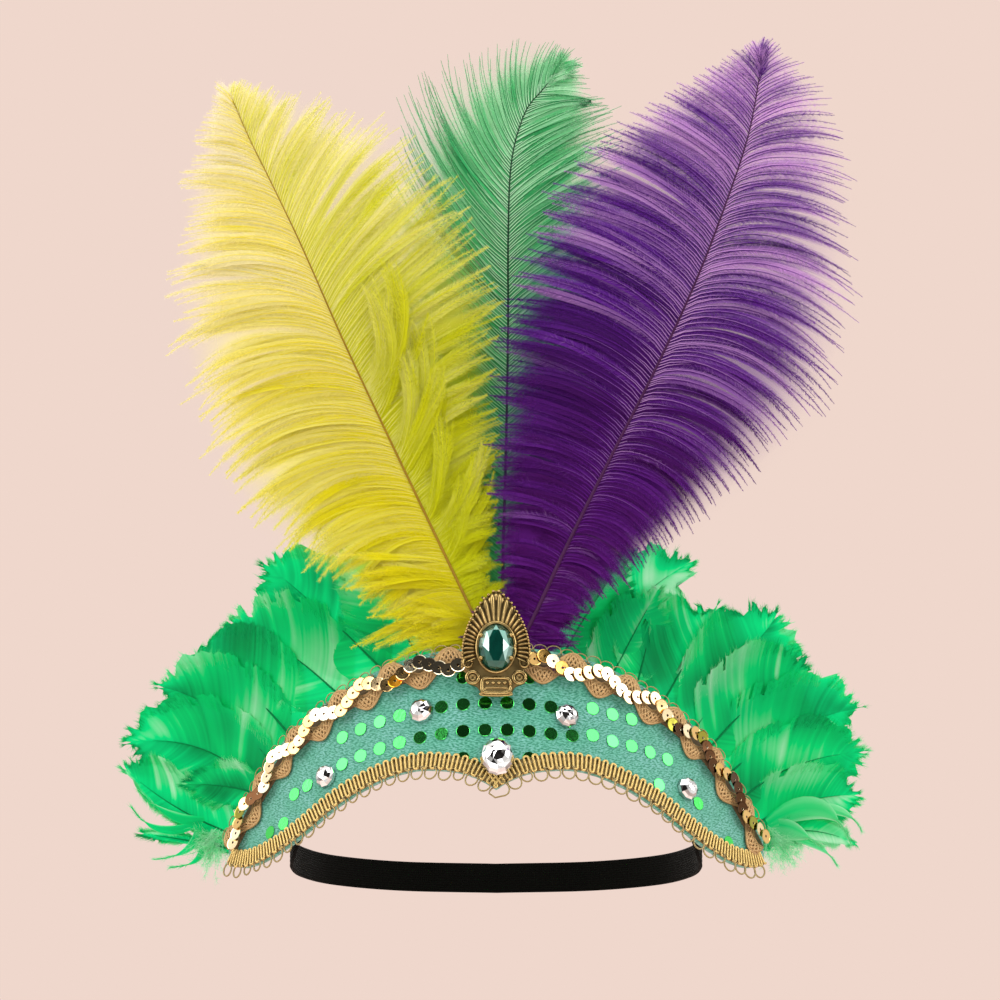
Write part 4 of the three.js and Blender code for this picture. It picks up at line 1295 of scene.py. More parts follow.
def dots_piece(sizes):
    """All the foil dots, each sewn at a slightly different slant."""
    rng = np.random.default_rng(11)
    places = dot_places(sizes)
    normals = band_normals(places[:, 0])
    out = unit(normals + rng.normal(0, DOT_SLANT, normals.shape))
    right = unit(np.cross(np.broadcast_to((0.0, 0.0, 1.0), out.shape), out))
    up = np.cross(out, right)
    parts = MeshParts()
    points = band_points(places[:, 0], places[:, 1], np.full(len(places), DOT_LIFT))
    add_copies(parts, dot_shape(sizes.dot), points, right, up, out, rng.random(len(places)))
    return parts.piece("foil_dots", smooth=False)


class HEADDRESS_OT_band(bpy.types.Operator):
    """Make the sequinned cloth band"""

    bl_idname = "headdress.band"
    bl_label = "Cloth band"

    def execute(self, context):
        sizes = context.scene.headdress_sizes
        colours = context.scene.headdress_colours
        band, area = band_piece()
        finish_piece(band, cloth_material(colours), ["band"])
        dots = dots_piece(sizes)
        finish_piece(dots, foil_material(colours))
        return {"FINISHED"}


# Braids

TAPE_LIFT = 0.35
TAPE_FOOT = 0.1
TAPE_STATIONS = 200
# Gimp: how far the tape stands out below it, how deep the cord sinks in, how far its turns overshoot
GIMP_PITCH = 1.42
GIMP_HALF = 2.35
GIMP_INSET = 2.6
GIMP_STEPS = 8
GIMP_TAPE = 0.3
GIMP_SUNK = 0.42
GIMP_TURN = 0.2
# Plait: lift of its strands and how far they rise and fall (cord radii), place and share of side cords
PLAIT_TAPE_HALF = 2.4
PLAIT_END_CLEAR = 0.2
PLAIT_LIFT = 1.5
PLAIT_RISE = 0.75
PLAIT_SIDE = 0.5
PLAIT_SIDE_CORD = 0.9
PLAIT_HALF = 2.2
PLAIT_PITCH = 8.0
PLAIT_SWAY = 3.6
PLAIT_STEP = 0.6
PLAIT_STRANDS = 5
PICOT_STEPS = 14
PICOT_OPENING = math.radians(155)
PICOT_LIFT = 0.8
PICOT_TWIST = 0.3
PICOT_STRAY = 0.2
PICOT_UNEVEN = 0.12
TOP_PICOT_CORD = 0.62
# Rows of loops: piece, edge, clearance at its ends, pitch, half width and depth of a loop, inset
LOW_PICOTS = ("low_braid_loops", LOW_EDGE, 0.2, 4.9, (2.1, 2.15), 0.5)
TOP_PICOTS = ("top_braid_loops", TOP_EDGE, 1.0, 4.7, (2.1, 1.5), 1.6)


def add_tape(parts, edge, ends, inset, half, lift):
    """Adds the flat tape that the cords are sewn on."""
    s = np.linspace(*ends, TAPE_STATIONS)
    corners = ((-half, lift), (half, lift), (half, TAPE_FOOT), (-half, TAPE_FOOT))
    vertices = np.stack([edge.frames(s, inset + across, height)[0] for across, height in corners], 1)
    # The third value, 1, marks the tape, which the thread material paints dark as painted shade between the
    # cords
    values = np.ones((len(s) * 4, 3))
    values[:, 0] = np.repeat(s, 4)
    triangles = grid_triangles(len(s), 4, wrap=True)
    caps = np.array([(0, 2, 1), (0, 3, 2)])
    end_caps = caps[:, ::-1] + (len(s) - 1) * 4
    parts.add(vertices, np.concatenate([triangles, caps, end_caps]), values)


def low_braid_piece(sizes):
    """Gimp braid: a cord laid to and fro across a tape."""
    parts = MeshParts()
    ends = (0, LOW_EDGE.length)
    add_tape(parts, LOW_EDGE, ends, GIMP_INSET - GIMP_TAPE, GIMP_HALF + GIMP_TAPE, TAPE_LIFT)
    ribs = int(LOW_EDGE.length / GIMP_PITCH)
    step = np.arange(GIMP_STEPS) / GIMP_STEPS
    turning = np.clip(step * 2 - 1, 0, 1)
    across = np.where(step < 0.5, step * 4 - 1, 1 + GIMP_TURN * np.sin(turning * math.pi))
    run = (1 - np.cos(turning * math.pi)) / 2
    way = np.where(np.arange(ribs) % 2 == 0, 1, -1)
    s = ((np.arange(ribs)[:, None] + 0.5 + run) * GIMP_PITCH).ravel()
    inset = GIMP_INSET + GIMP_HALF * (way[:, None] * across).ravel()
    cord = sizes.gimp_cord / MM
    place, _, _, normal = LOW_EDGE.frames(s, inset, TAPE_LIFT + cord * GIMP_SUNK)
    add_cord(parts, place, normal, cord / 2)
    return parts.piece("low_braid_threads", "thread")


def top_braid_piece(sizes):
    """Plait that winds against the sequins, on its tape, with a cord along each side."""
    parts = MeshParts()
    ends = (PLAIT_END_CLEAR, TOP_EDGE.length - PLAIT_END_CLEAR)
    add_tape(parts, TOP_EDGE, ends, BRAID_INSET, PLAIT_TAPE_HALF, TAPE_LIFT)
    s = np.arange(ends[0], ends[1], PLAIT_STEP)
    middle = BRAID_INSET - PLAIT_SWAY * np.sin(wave_phase(s))
    radius = sizes.plait_cord / MM / 2
    for strand in range(PLAIT_STRANDS):
        phase = 2 * math.pi * (s / PLAIT_PITCH + strand / PLAIT_STRANDS)
        lift = TAPE_LIFT + radius * (PLAIT_LIFT + PLAIT_RISE * np.cos(2 * phase))
        place, _, _, normal = TOP_EDGE.frames(s, middle + PLAIT_HALF * np.sin(phase), lift)
        add_cord(parts, place, normal, radius)
    for side in SIDE_SIGN.values():
        inset = middle + side * (PLAIT_HALF + PLAIT_SIDE)
        place, _, _, normal = TOP_EDGE.frames(s, inset, TAPE_LIFT + radius)
        add_cord(parts, place, normal, radius * PLAIT_SIDE_CORD)
    return parts.piece("top_braid_threads", "thread")


def picots_piece(name, edge, clear, pitch, loop, inset, cord, rng):
    """A cord in a row of open loops along an edge, each loop half as wide and deep as loop says."""
    wide, deep = loop
    centres = np.arange(clear + wide, edge.length - clear - wide, pitch)
    sizes = 1 + rng.uniform(-PICOT_UNEVEN, PICOT_UNEVEN, len(centres))
    angle = np.linspace(-PICOT_OPENING, PICOT_OPENING, PICOT_STEPS)
    s = centres[:, None] + wide * sizes[:, None] * np.sin(angle)
    sunk = inset - deep * sizes[:, None] * (1 + np.cos(angle))
    stray = rng.uniform(-PICOT_STRAY, PICOT_STRAY, len(centres))[:, None]
    height = PICOT_LIFT + PICOT_TWIST * np.sin(angle) + stray
    place, _, _, normal = edge.frames(s.ravel(), sunk.ravel(), height.ravel())
    parts = MeshParts()
    add_cord(parts, place, normal, cord / 2, sides=5)
    return parts.piece(name, "thread")


class HEADDRESS_OT_braids(bpy.types.Operator):
    """Make the two gold braids and their loops"""

    bl_idname = "headdress.braids"
    bl_label = "Gold braids"

    def execute(self, context):
        sizes = context.scene.headdress_sizes
        gold = tuple(context.scene.headdress_colours.gold)
        rng = np.random.default_rng(23)
        gimp = thread_material("gold_gimp", toward(gold, linear(238, 204, 118), 0.6), 2.2)
        plait = thread_material("gold_plait", toward(gold, linear(196, 158, 108), 0.9), 2.6, 0.5)
        fine = thread_material("gold_wire", shaded(gold, 0.5), 2.4, 0.32)
        finish_piece(low_braid_piece(sizes), gimp, ["braid_low"])
        finish_piece(top_braid_piece(sizes), plait, ["braid_top"])
        cord = sizes.picot_cord / MM
        for row, share in ((LOW_PICOTS, 1.0), (TOP_PICOTS, TOP_PICOT_CORD)):
            finish_piece(picots_piece(*row, cord * share, rng), fine)
        return {"FINISHED"}


# Sequins

SEQUIN_TILT = math.radians(9)
SEQUIN_LIFT = 3.1
SEQUIN_END_CLEAR = 3.0
HOLE_SHARE = 0.19
# Tone of the painted shade in a sequin's hole, and the tone below which it shows
HOLE_SHADE_TONE = -1.0
HOLE_SHADE_EDGE = -0.3
SHADED_BROWN_TONE, OLIVE_TONE, ORANGE_TONE = 2.0, 3.0, 4.0
# Places along X of the odd sequins: brown ones in groups, painted dark as painted shade, and olive and
# orange ones single
SHADED_BROWN_AT = (-81.0, 60.6, 71.5, 80.7)
SHADED_BROWN_HALF = 2.2
SINGLE_AT = (
    (-85.3, OLIVE_TONE), (58.0, OLIVE_TONE), (68.0, OLIVE_TONE), (87.0, OLIVE_TONE), (-32.3, ORANGE_TONE),
)
SEQUIN_SLANT = 0.035
SEQUIN_SHARPNESS = 0.97
# A sequin, as shares of its diameter: first radius, growth and rise of each ring round it, wall
SEQUIN_CORE = 0.085
SEQUIN_RINGS = ((1.15, 0.004), (4.6, 0.004), (1.11, 0.012))
SEQUIN_WALL = 0.02


def sequin_shape(diameter):
    """One sequin: a flat disc with a turned-up rim and a stitch hole in its middle."""
    deselect_all()
    bpy.ops.mesh.primitive_circle_add(vertices=16, radius=diameter * SEQUIN_CORE, fill_type="NGON")
    bpy.ops.object.mode_set(mode="EDIT")
    for share, rise in SEQUIN_RINGS:
        bpy.ops.mesh.select_all(action="DESELECT")
        bpy.ops.mesh.select_non_manifold()
        bpy.ops.mesh.extrude_edges_move()
        bpy.ops.transform.resize(value=(share, share, 1))
        bpy.ops.transform.translate(value=(0, 0, diameter * rise))
    bpy.ops.object.mode_set(mode="OBJECT")
    disc = bpy.context.object
    wall = disc.modifiers.new("wall", "SOLIDIFY")
    wall.thickness = diameter * SEQUIN_WALL
    bpy.ops.object.modifier_apply(modifier=wall.name)
    return take_shape(disc)


def sequin_chain(side, shape, rng):
    """Half of the chain, from the brooch to the band's end."""
    middle = TOP_EDGE.length / 2
    count = int((middle - BROOCH_CLEAR - SEQUIN_END_CLEAR) / SEQUIN_PITCH) + 1
    s = middle + SIDE_SIGN[side] * (BROOCH_CLEAR + np.arange(count) * SEQUIN_PITCH)

    def on_wave(at):
        zigzag = np.arcsin(np.sin(wave_phase(at)) * SEQUIN_SHARPNESS) / (math.pi / 2)
        return TOP_EDGE.frames(at, BRAID_INSET + SEQUIN_SWAY * zigzag, SEQUIN_LIFT)

    place, _, _, normal = on_wave(s)
    ahead = unit(on_wave(s + 0.5)[0] - on_wave(s - 0.5)[0])
    tilted = normal * math.cos(SEQUIN_TILT) + ahead * math.sin(SEQUIN_TILT)
    out = unit(tilted + rng.normal(0, SEQUIN_SLANT, normal.shape))
    up = unit(np.cross(out, ahead))
    right = np.cross(up, out)
    parts = MeshParts()
    hole = np.hypot(shape[0][:, 0], shape[0][:, 1]) < shape[0][:, 0].max() * HOLE_SHARE
    dye_and_painted_light = rng.random(count)
    # Groups of sequins painted dark brown, as painted shade
    dye_and_painted_light[np.abs(place[:, :1] - SHADED_BROWN_AT).min(axis=1) < SHADED_BROWN_HALF] = SHADED_BROWN_TONE
    for x, tone in SINGLE_AT:
        if x * SIDE_SIGN[side] > 0:
            dye_and_painted_light[np.abs(place[:, 0] - x).argmin()] = tone
    tones = np.where(hole[None], HOLE_SHADE_TONE, dye_and_painted_light[:, None])
    add_copies(parts, shape, place, right, up, out, tones.ravel())
    return parts.piece(f"cup_sequins_{side}", smooth=False)


class HEADDRESS_OT_sequins(bpy.types.Operator):
    """Make the two chains of gold cup sequins"""

    bl_idname = "headdress.sequins"
    bl_label = "Cup sequins"

    def execute(self, context):
        material = sequin_material(context.scene.headdress_colours)
        shape = sequin_shape(context.scene.headdress_sizes.sequin)
        rng = np.random.default_rng(37)
        for side in SIDE_SIGN:
            chain = sequin_chain(side, shape, rng)
            finish_piece(chain, material, [f"sequins_{side}"])
        return {"FINISHED"}


# Stones

FACET_STRAY = 0.006
STONE_GROW = 1.1
# A stone is cut from a ball of diameter 1, this far below its middle. Its facets stray above a height
STONE_CUT = 0.02
STONE_LOOSE = 0.35
SMALL_STONE = 10.0
SMALL_FACETS, LARGE_FACETS = 10, 12


def cut_stone_facets(across, tall, high, facets, rng):
    """A cut stone with a flat back (millimetres): corners of its triangles, and their facets."""
    deselect_all()
    bpy.ops.mesh.primitive_uv_sphere_add(segments=facets, ring_count=facets, radius=0.5)
    stone = bpy.context.object
    bpy.ops.object.mode_set(mode="EDIT")
    bpy.ops.mesh.select_all(action="SELECT")
    bpy.ops.mesh.bisect(plane_co=(0, 0, -STONE_CUT), plane_no=(0, 0, 1), clear_inner=True, use_fill=True)
    bpy.ops.mesh.select_all(action="SELECT")
    bpy.ops.transform.translate(value=(0, 0, STONE_CUT))
    size = (across * MM, tall * MM, high / (0.5 + STONE_CUT) * MM)
    bpy.ops.transform.resize(value=size, center_override=(0, 0, 0))
    bpy.ops.object.mode_set(mode="OBJECT")
    stone.data.calc_loop_triangles()
    polygon = np.array([t.polygon_index for t in stone.data.loop_triangles])
    centres = np.array([p.center for p in stone.data.polygons]) / MM
    # The cut leaves the faces in any order, so facets are numbered by place and keep their tones
    by_place = np.lexsort(np.round(centres, 3).T)
    facet = np.argsort(by_place)[polygon]
    vertices, triangles = take_shape(stone)
    upper = vertices[:, 2] > high * STONE_LOOSE
    vertices[upper] += rng.normal(0, across * FACET_STRAY, (int(upper.sum()), 3))
    return vertices[triangles].reshape(-1, 3), np.repeat(facet, 3)


def stone_piece(name, x, z, across, tall, high, lift, tilt):
    """One clear stone on the band, its facets painted light and dark by turns as painted reflections."""
    rng = np.random.default_rng(int(1000 + x))
    normal = Vector(band_normals(x))
    normal.rotate(Matrix.Rotation(-math.radians(tilt), 3, "X"))
    right = Vector((0, 0, 1)).cross(normal).normalized()
    up = normal.cross(right)
    small = tall < SMALL_STONE
    grow = STONE_GROW if small else 1.0
    facets = SMALL_FACETS if small else LARGE_FACETS
    corners, facet = cut_stone_facets(across * grow, tall * grow, high, facets, rng)
    shape = (corners, loose_triangles(len(corners) // 3))
    parts = MeshParts()
    place = band_points(np.array([x]), np.array([z]), np.array([lift]))
    axes = [np.array([axis]) for axis in (right, up, normal)]
    # A random tone for each facet, its painted reflection
    add_copies(parts, shape, place, *axes, rng.random(facet.max() + 1)[facet])
    return parts.piece(name.replace("stone", "clear_stone"), smooth=False)


class HEADDRESS_OT_stones(bpy.types.Operator):
    """Make the clear stones on the band"""

    bl_idname = "headdress.stones"
    bl_label = "Clear stones"

    def execute(self, context):
        material = stone_material("clear_stone", (0.86, 0.87, 0.9), 0.6)
        for row in STONES:
            finish_piece(stone_piece(*row), material, [row[0]])
        return {"FINISHED"}


# Brooch, made lying flat: X across, Y up the plate, Z out of it

BROOCH_PLEATS = 27
PLEAT_STEPS = 8
DISH_ROWS = 8
# Heights of the dish: half waves up its side, height at the stone, its crown, its pleats and its edge
DISH_CURVE = 0.62
DISH_BASE = 1.5
DISH_CROWN = 1.3
PLEAT_RISE = 0.5
DISH_EDGE = 0.5
PLEAT_REACH = 0.45
# Tones of the casting: middle and swing on the pleats, share at the dish's edge, plate, beads
PLEAT_TONE = (0.42, 0.48)
EDGE_DARK = 0.2
PLATE_TONE = 0.3
BEAD_TONE = 0.95
BROOCH_SWEEP = math.radians(236)
BEZEL_WIRE = 0.62
BEZEL_CLEAR = 0.5
PIN_BACK = (3.4, 1.5, 12.0, 4.4)
# The green stone: sides of its girdle and table, range of the tones of its painted pale flashes and of
# its painted dark reflections, and where the flashes are painted
GEM_GIRDLE = 16
GEM_TABLE = 8
GEM_PAINTED_FLASH = (1.1, 1.6)
GEM_PAINTED_DARK = (0.3, 0.85)
GEM_PAINTED_DARK_HALF = 0.4
GEM_FLASH_TALL = 0.66
GEM_FLASH_TURN = 0.1


def brooch_to_frame(points):
    """Points of the flat brooch (millimetres) stood up at their place on the band."""
    turn = math.pi / 2 - BROOCH_LEAN
    x, y, z = points[..., 0], points[..., 1], points[..., 2]
    back = BROOCH_BACK_Y + (BROOCH_BOTTOM_Z - BROOCH_SEAT_Z) * math.tan(BROOCH_LEAN)
    stood_y = back + y * math.cos(turn) - z * math.sin(turn)
    stood_z = BROOCH_BOTTOM_Z + y * math.sin(turn) + z * math.cos(turn)
    return np.stack([x, stood_y, stood_z], -1)


def brooch_rim(angles):
    """Distance from the stone's centre to the plate's rim in each direction."""
    reach = np.linspace(0.5, BROOCH_HEIGHT, 600)
    x = np.abs(np.cos(angles)[:, None] * reach)
    up = BROOCH_STONE_UP + np.sin(angles)[:, None] * reach
    half = from_table(BROOCH_OUTLINE, 1, np.clip(up, 0, BROOCH_HEIGHT))
    inside = (up > 0) & (up < BROOCH_HEIGHT) & (x < half)
    return reach[inside.cumprod(axis=1).sum(axis=1) - 1]


def bezel_reach(angles, grow):
    """Radius of the oval round the stone, grown by a margin."""
    a, b = (half + grow for half in BROOCH_STONE_HALF)
    return a * b / np.hypot(b * np.cos(angles), a * np.sin(angles))


def round_stone(angles, wide, tall, height):
    """Points of the flat brooch in directions from the stone's centre, so far across and up."""
    points = (wide * np.cos(angles), BROOCH_STONE_UP + tall * np.sin(angles), height)
    return np.stack(np.broadcast_arrays(*points), -1)


def add_pleated_dish(parts):
    """Adds the dish of pleats that fans out from the stone."""
    count = BROOCH_PLEATS * PLEAT_STEPS + 1
    angles = math.pi / 2 + np.linspace(-0.5, 0.5, count) * BROOCH_SWEEP
    inner = bezel_reach(angles, BEZEL_CLEAR)
    outer = brooch_rim(angles) - PLEAT_REACH
    share = np.linspace(0, 1, DISH_ROWS)[:, None]
    pleat = np.cos(np.linspace(0, BROOCH_PLEATS * 2 * math.pi, count))
    reach = inner + (outer + PLEAT_REACH * pleat - inner) * share
    crown = DISH_CROWN * np.sin(share * math.pi * DISH_CURVE)
    height = DISH_BASE + crown + PLEAT_RISE * pleat * np.sqrt(share)
    height[-1] = DISH_EDGE
    tone = np.tile(PLEAT_TONE[0] + PLEAT_TONE[1] * pleat, (DISH_ROWS, 1))
    tone[-1] *= EDGE_DARK
    points = round_stone(angles, reach, reach, height)
    parts.add(brooch_to_frame(points), grid_triangles(DISH_ROWS, count)[:, ::-1], tone.ravel())


def add_pin_back(parts):
    """Adds the block behind the plate that holds the brooch on the band."""
    half, low, high, deep = PIN_BACK
    corners = np.array([(x, y, z) for z in (-deep, 0.2) for y in (low, high) for x in (-half, half)])
    sides = [(0, 2, 3, 1), (4, 5, 7, 6), (0, 1, 5, 4), (2, 6, 7, 3), (0, 4, 6, 2), (1, 3, 7, 5)]
    triangles = [(a, b, c) for a, b, c, d in sides] + [(a, c, d) for a, b, c, d in sides]
    parts.add(brooch_to_frame(corners), triangles, np.full(len(corners), PLATE_TONE))


# Growth past the rim, and height, of the plate's rings from back to front
PLATE_RINGS = ((0.0, 0.0), (0.0, 0.9), (-0.5, 1.1))


def add_flat_plate(parts):
    """Adds the plate behind the dish."""
    angles = np.linspace(0, 2 * math.pi, 121)[:-1]
    rim = brooch_rim(angles) - 0.2
    rings = [round_stone(angles, rim + grow, rim + grow, height) for grow, height in PLATE_RINGS]
    count = len(angles)
    centres = np.array([(0, BROOCH_STONE_UP, PLATE_RINGS[end][1]) for end in (0, -1)])
    vertices = np.concatenate([np.concatenate(rings), centres])
    wall = grid_triangles(3, count, wrap=True)
    i = np.arange(count)
    following = (i + 1) % count
    back = np.stack([following, i, np.full(count, 3 * count)], 1)
    face = np.stack([i + 2 * count, following + 2 * count, np.full(count, 3 * count + 1)], 1)
    tones = np.full(len(vertices), PLATE_TONE)
    parts.add(brooch_to_frame(vertices), np.concatenate([wall, back, face]), tones)


def ball_shape():
    """A small bead of radius 1 mm."""
    deselect_all()
    bpy.ops.mesh.primitive_uv_sphere_add(segments=8, ring_count=6, radius=MM)
    return take_shape(bpy.context.object)


def add_balls(parts, shape, places, size, tone):
    """Adds beads of the flat brooch, of one radius or of half sizes in X, Y and Z."""
    vertices, triangles = shape
    for place in places:
        parts.add(brooch_to_frame(vertices * size + place), triangles, np.full(len(vertices), tone))


def add_ring(parts, centre, half_x, half_y, wire, tone, steps=36, square=1.0):
    """Adds a round wire bent to an oval, or with square below 1 towards a rectangle."""
    angles = np.linspace(0, 2 * math.pi, steps + 1)
    flat = np.stack([np.cos(angles), np.sin(angles)], -1)
    flat = np.sign(flat) * np.abs(flat) ** square * (half_x, half_y)
    path = np.column_stack([flat + centre[:2], np.full_like(angles, centre[2])])
    up = np.broadcast_to((0.0, 0.0, 1.0), path.shape)
    vertices, triangles, _ = cord_shape(path, up, wire, sides=8)
    parts.add(brooch_to_frame(vertices), triangles, np.full(len(vertices), tone))


# Beads of the rim: count, inset, height, radius
RIM_BEADS = (46, 0.15, 1.25, 0.58)
# The bezel's height, tone and steps, and the claws: angles, inset, height, half sizes
BEZEL_HEIGHT = 2.5
BEZEL_TONE = 0.8
BEZEL_STEPS = 48
CLAW_ANGLES = np.radians((38, 142, 218, 322))
CLAW_INSET = 0.1
CLAW_HEIGHT = 3.5
CLAW_SIZE = (0.8, 0.8, 0.9)
# Studs on the foot: count, half of their row, place up the plate, height, radius
STUDS = (4, 2.9, 4.2, 1.5, 0.72)
CROWN_BEAD_SIZE = (0.75, 1.5, 0.9)
CROWN_TONE = 0.9
# Beads at the crown, and rings of the scrolls on each side and of the foot: centre, half width, half
# height, wire, tone, steps, squareness
CROWN_BEADS = ((0, 33.2, 1.9), (-1.9, 32.0, 1.8), (1.9, 32.0, 1.8), (-3.2, 30.0, 1.7), (3.2, 30.0, 1.7))
SCROLL_RINGS = (
    ((7.7, 6.0, 1.6), 2.0, 2.0, 0.6, 0.9, 24),
    ((7.7, 6.0, 1.5), 0.8, 0.8, 0.45, 0.7, 16),
    ((9.3, 11.2, 1.6), 1.3, 1.6, 0.5, 0.85, 20),
)
FOOT_RINGS = (
    ((0, 3.3, 1.6), 4.7, 2.6, 0.6, 0.9, 40, 0.4),
    ((0, 1.9, 1.6), 3.6, 0.7, 0.4, 0.8, 32, 0.5),
    ((0, 0.5, 1.3), 5.2, 0.5, 0.5, 0.85, 40),
)


def brooch_casting():
    """The stamped setting: plate, pleated dish, beaded rim, bezel, claws and lower scrolls."""
    parts = MeshParts()
    ball = ball_shape()
    add_pin_back(parts)
    add_flat_plate(parts)
    add_pleated_dish(parts)
    count, inset, height, radius = RIM_BEADS
    rim_angles = math.pi / 2 + np.linspace(-0.5, 0.5, count) * BROOCH_SWEEP
    rim = brooch_rim(rim_angles) - inset
    beads = round_stone(rim_angles, rim, rim, height)
    add_balls(parts, ball, beads, radius, BEAD_TONE)
    stone = (0.0, BROOCH_STONE_UP, BEZEL_HEIGHT)
    halves = (half + BEZEL_CLEAR for half in BROOCH_STONE_HALF)
    add_ring(parts, stone, *halves, BEZEL_WIRE, BEZEL_TONE, BEZEL_STEPS)
    claw = bezel_reach(CLAW_ANGLES, -CLAW_INSET)
    claws = round_stone(CLAW_ANGLES, claw, claw, CLAW_HEIGHT)
    add_balls(parts, ball, claws, CLAW_SIZE, BEAD_TONE)
    add_balls(parts, ball, np.array(CROWN_BEADS), CROWN_BEAD_SIZE, CROWN_TONE)
    for side in (-1, 1):
        for (x, up, height), *ring in SCROLL_RINGS:
            add_ring(parts, (side * x, up, height), *ring)
    for ring in FOOT_RINGS:
        add_ring(parts, *ring)
    count, half, up, height, radius = STUDS
    studs = np.array([(x, up, height) for x in np.linspace(-half, half, count)])
    add_balls(parts, ball, studs, radius, BEAD_TONE)
    return parts.piece("brooch_casting")


def brooch_gem_piece():
    """The oval stone: a raised table with long side facets, toned as painted reflections."""
    half_x, half_y = BROOCH_STONE_HALF
    girdle = np.linspace(0, 2 * math.pi, GEM_GIRDLE + 1)[:-1] + math.pi / 8
    table = np.linspace(0, 2 * math.pi, GEM_TABLE + 1)[:-1] + math.pi / 4
    # Angles, shares of the stone's half width and half height, height
    rings = (
        (girdle, 1.0, 1.0, 1.8),
        (girdle, 1.0, 1.0, 2.7),
        (table, 0.74, 0.9, 4.7),
        (table + math.pi / 8, 0.44, 0.72, 5.8),
    )
    vertices = [round_stone(a, wide * half_x, tall * half_y, up) for a, wide, tall, up in rings]
    starts = np.cumsum([0] + [len(v) for v in vertices])
    triangles = []
    for i in range(GEM_GIRDLE):
        j = (i + 1) % GEM_GIRDLE
        triangles += [(i, j, GEM_GIRDLE + j), (i, GEM_GIRDLE + j, GEM_GIRDLE + i)]
    for k in range(GEM_TABLE):
        crown, following = starts[2] + k, starts[2] + (k + 1) % GEM_TABLE
        left, mid, right = (GEM_GIRDLE + (2 * k + step) % GEM_GIRDLE for step in range(3))
        triangles += [(left, mid, crown), (mid, right, crown), (right, following, crown)]
        top, top_next = starts[3] + k, starts[3] + (k + 1) % GEM_TABLE
        triangles += [(crown, following, top), (following, top_next, top)]
    triangles += [(starts[3], starts[3] + k, starts[3] + k + 1) for k in range(1, GEM_TABLE - 1)]
    triangles += [(0, k + 1, k) for k in range(1, GEM_GIRDLE - 1)]
    parts = MeshParts()
    corners = np.concatenate(vertices)[np.array(triangles)]
    middle = corners.mean(axis=1)
    aside = np.abs(middle[:, 0]) / half_x
    aloft = np.abs(middle[:, 1] - BROOCH_STONE_UP) / half_y
    rng = np.random.default_rng(61)
    # Painted reflections: pale flashes on side facets towards the upper left and lower right, dark tones
    # elsewhere
    turned = (middle[:, 0] / half_x) * (middle[:, 1] - BROOCH_STONE_UP) / half_y
    painted_highlight = (aside > GEM_PAINTED_DARK_HALF) & (aloft < GEM_FLASH_TALL) & (turned < GEM_FLASH_TURN)
    tones = np.where(painted_highlight, rng.uniform(*GEM_PAINTED_FLASH, len(aside)), rng.uniform(*GEM_PAINTED_DARK, len(aside)))
    points = brooch_to_frame(corners.reshape(-1, 3))
    parts.add(points, loose_triangles(len(tones)), np.repeat(tones, 3))
    return parts.piece("brooch_gem", smooth=False)


class HEADDRESS_OT_brooch(bpy.types.Operator):
    """Make the brass brooch and its green stone"""

    bl_idname = "headdress.brooch"
    bl_label = "Brooch"

    def execute(self, context):
        brass = brass_material(context.scene.headdress_colours)
        finish_piece(brooch_casting(), brass, ["brooch_setting"])
        emerald = stone_material("green_stone", linear(9, 92, 78), 1.0, 0.6)
        finish_piece(brooch_gem_piece(), emerald, ["brooch_stone"])
        return {"FINISHED"}


# Elastic strap

STRAP_STATIONS = 321
STRAP_COLUMNS = 14
STRAP_RIB = 0.06
STRAP_SLIM = 0.08


def strap_line(share):
    """Points of the strap's middle, from its left sewn end to its right one."""
    half = np.where(share <= 0.5, share, 1 - share) * 2
    rows = np.column_stack([np.linspace(0, 1, len(STRAP_ROUTE)), STRAP_ROUTE])
    sign = np.where(share <= 0.5, -1, 1)
    x, y, z = (from_table(rows, column, half) for column in (1, 2, 3))
    return np.stack([sign * x, y, z], -1)


def strap_piece(sizes):
    """The ribbed band of elastic, and its length in metres."""
    share = np.linspace(0, 1, STRAP_STATIONS)
    middle = strap_line(share)
    free = np.minimum(1, np.minimum(share, 1 - share) / STRAP_SEWN)
    lean = BAND_LEAN + (STRAP_PITCH - BAND_LEAN) * free
    up = np.stack([0 * lean, np.sin(lean), np.cos(lean)], -1)
    normal = unit(np.cross(np.gradient(middle, axis=0), up))
    run = run_along(middle)
    across = np.linspace(-0.5, 0.5, STRAP_COLUMNS) * sizes.strap_width / MM
    body = middle[:, None] + up[:, None] * across[None, :, None]
    rib = STRAP_RIB * np.cos(np.arange(STRAP_COLUMNS) * math.pi)[None, :, None]
    half = sizes.strap_thickness / MM / 2 - STRAP_SLIM + rib
    uv = np.stack(np.broadcast_arrays(across[None], run[:, None]), -1)
    out = normal[:, None] * half
    piece = sheet_piece("strap_elastic", body + out, body - out, uv)
    return piece, run[-1] * MM


class HEADDRESS_OT_strap(bpy.types.Operator):
    """Make the elastic strap"""

    bl_idname = "headdress.strap"
    bl_label = "Elastic strap"

    def execute(self, context):
        sizes = context.scene.headdress_sizes
        strap, length = strap_piece(sizes)
        material = elastic_material(context.scene.headdress_colours)
        finish_piece(strap, material, ["elastic_strap"])
        return {"FINISHED"}


# Plumes

def plume_frames(rows, t):
    """Places along a quill, with its direction, the direction across the vane and its front."""
    def place(at):
        return np.stack([from_table(rows, column, at) for column in (1, 2, 3)], -1)
    step = 0.01
    along = unit(place(np.minimum(t + step, 1)) - place(np.maximum(t - step, 0)))
    forward = np.stack([0 * t, -along[:, 2], along[:, 1]], -1)
    across = unit(np.cross(along, forward))
    return place(t), along, across, np.cross(across, along)


def running_sum(values):
    """Sums along the last axis by the trapezium rule, from 0, over a length of 1."""
    steps = (values[:, 1:] + values[:, :-1]) / 2 / (values.shape[1] - 1)
    return np.concatenate([np.zeros((len(values), 1)), np.cumsum(steps, axis=1)], axis=1)


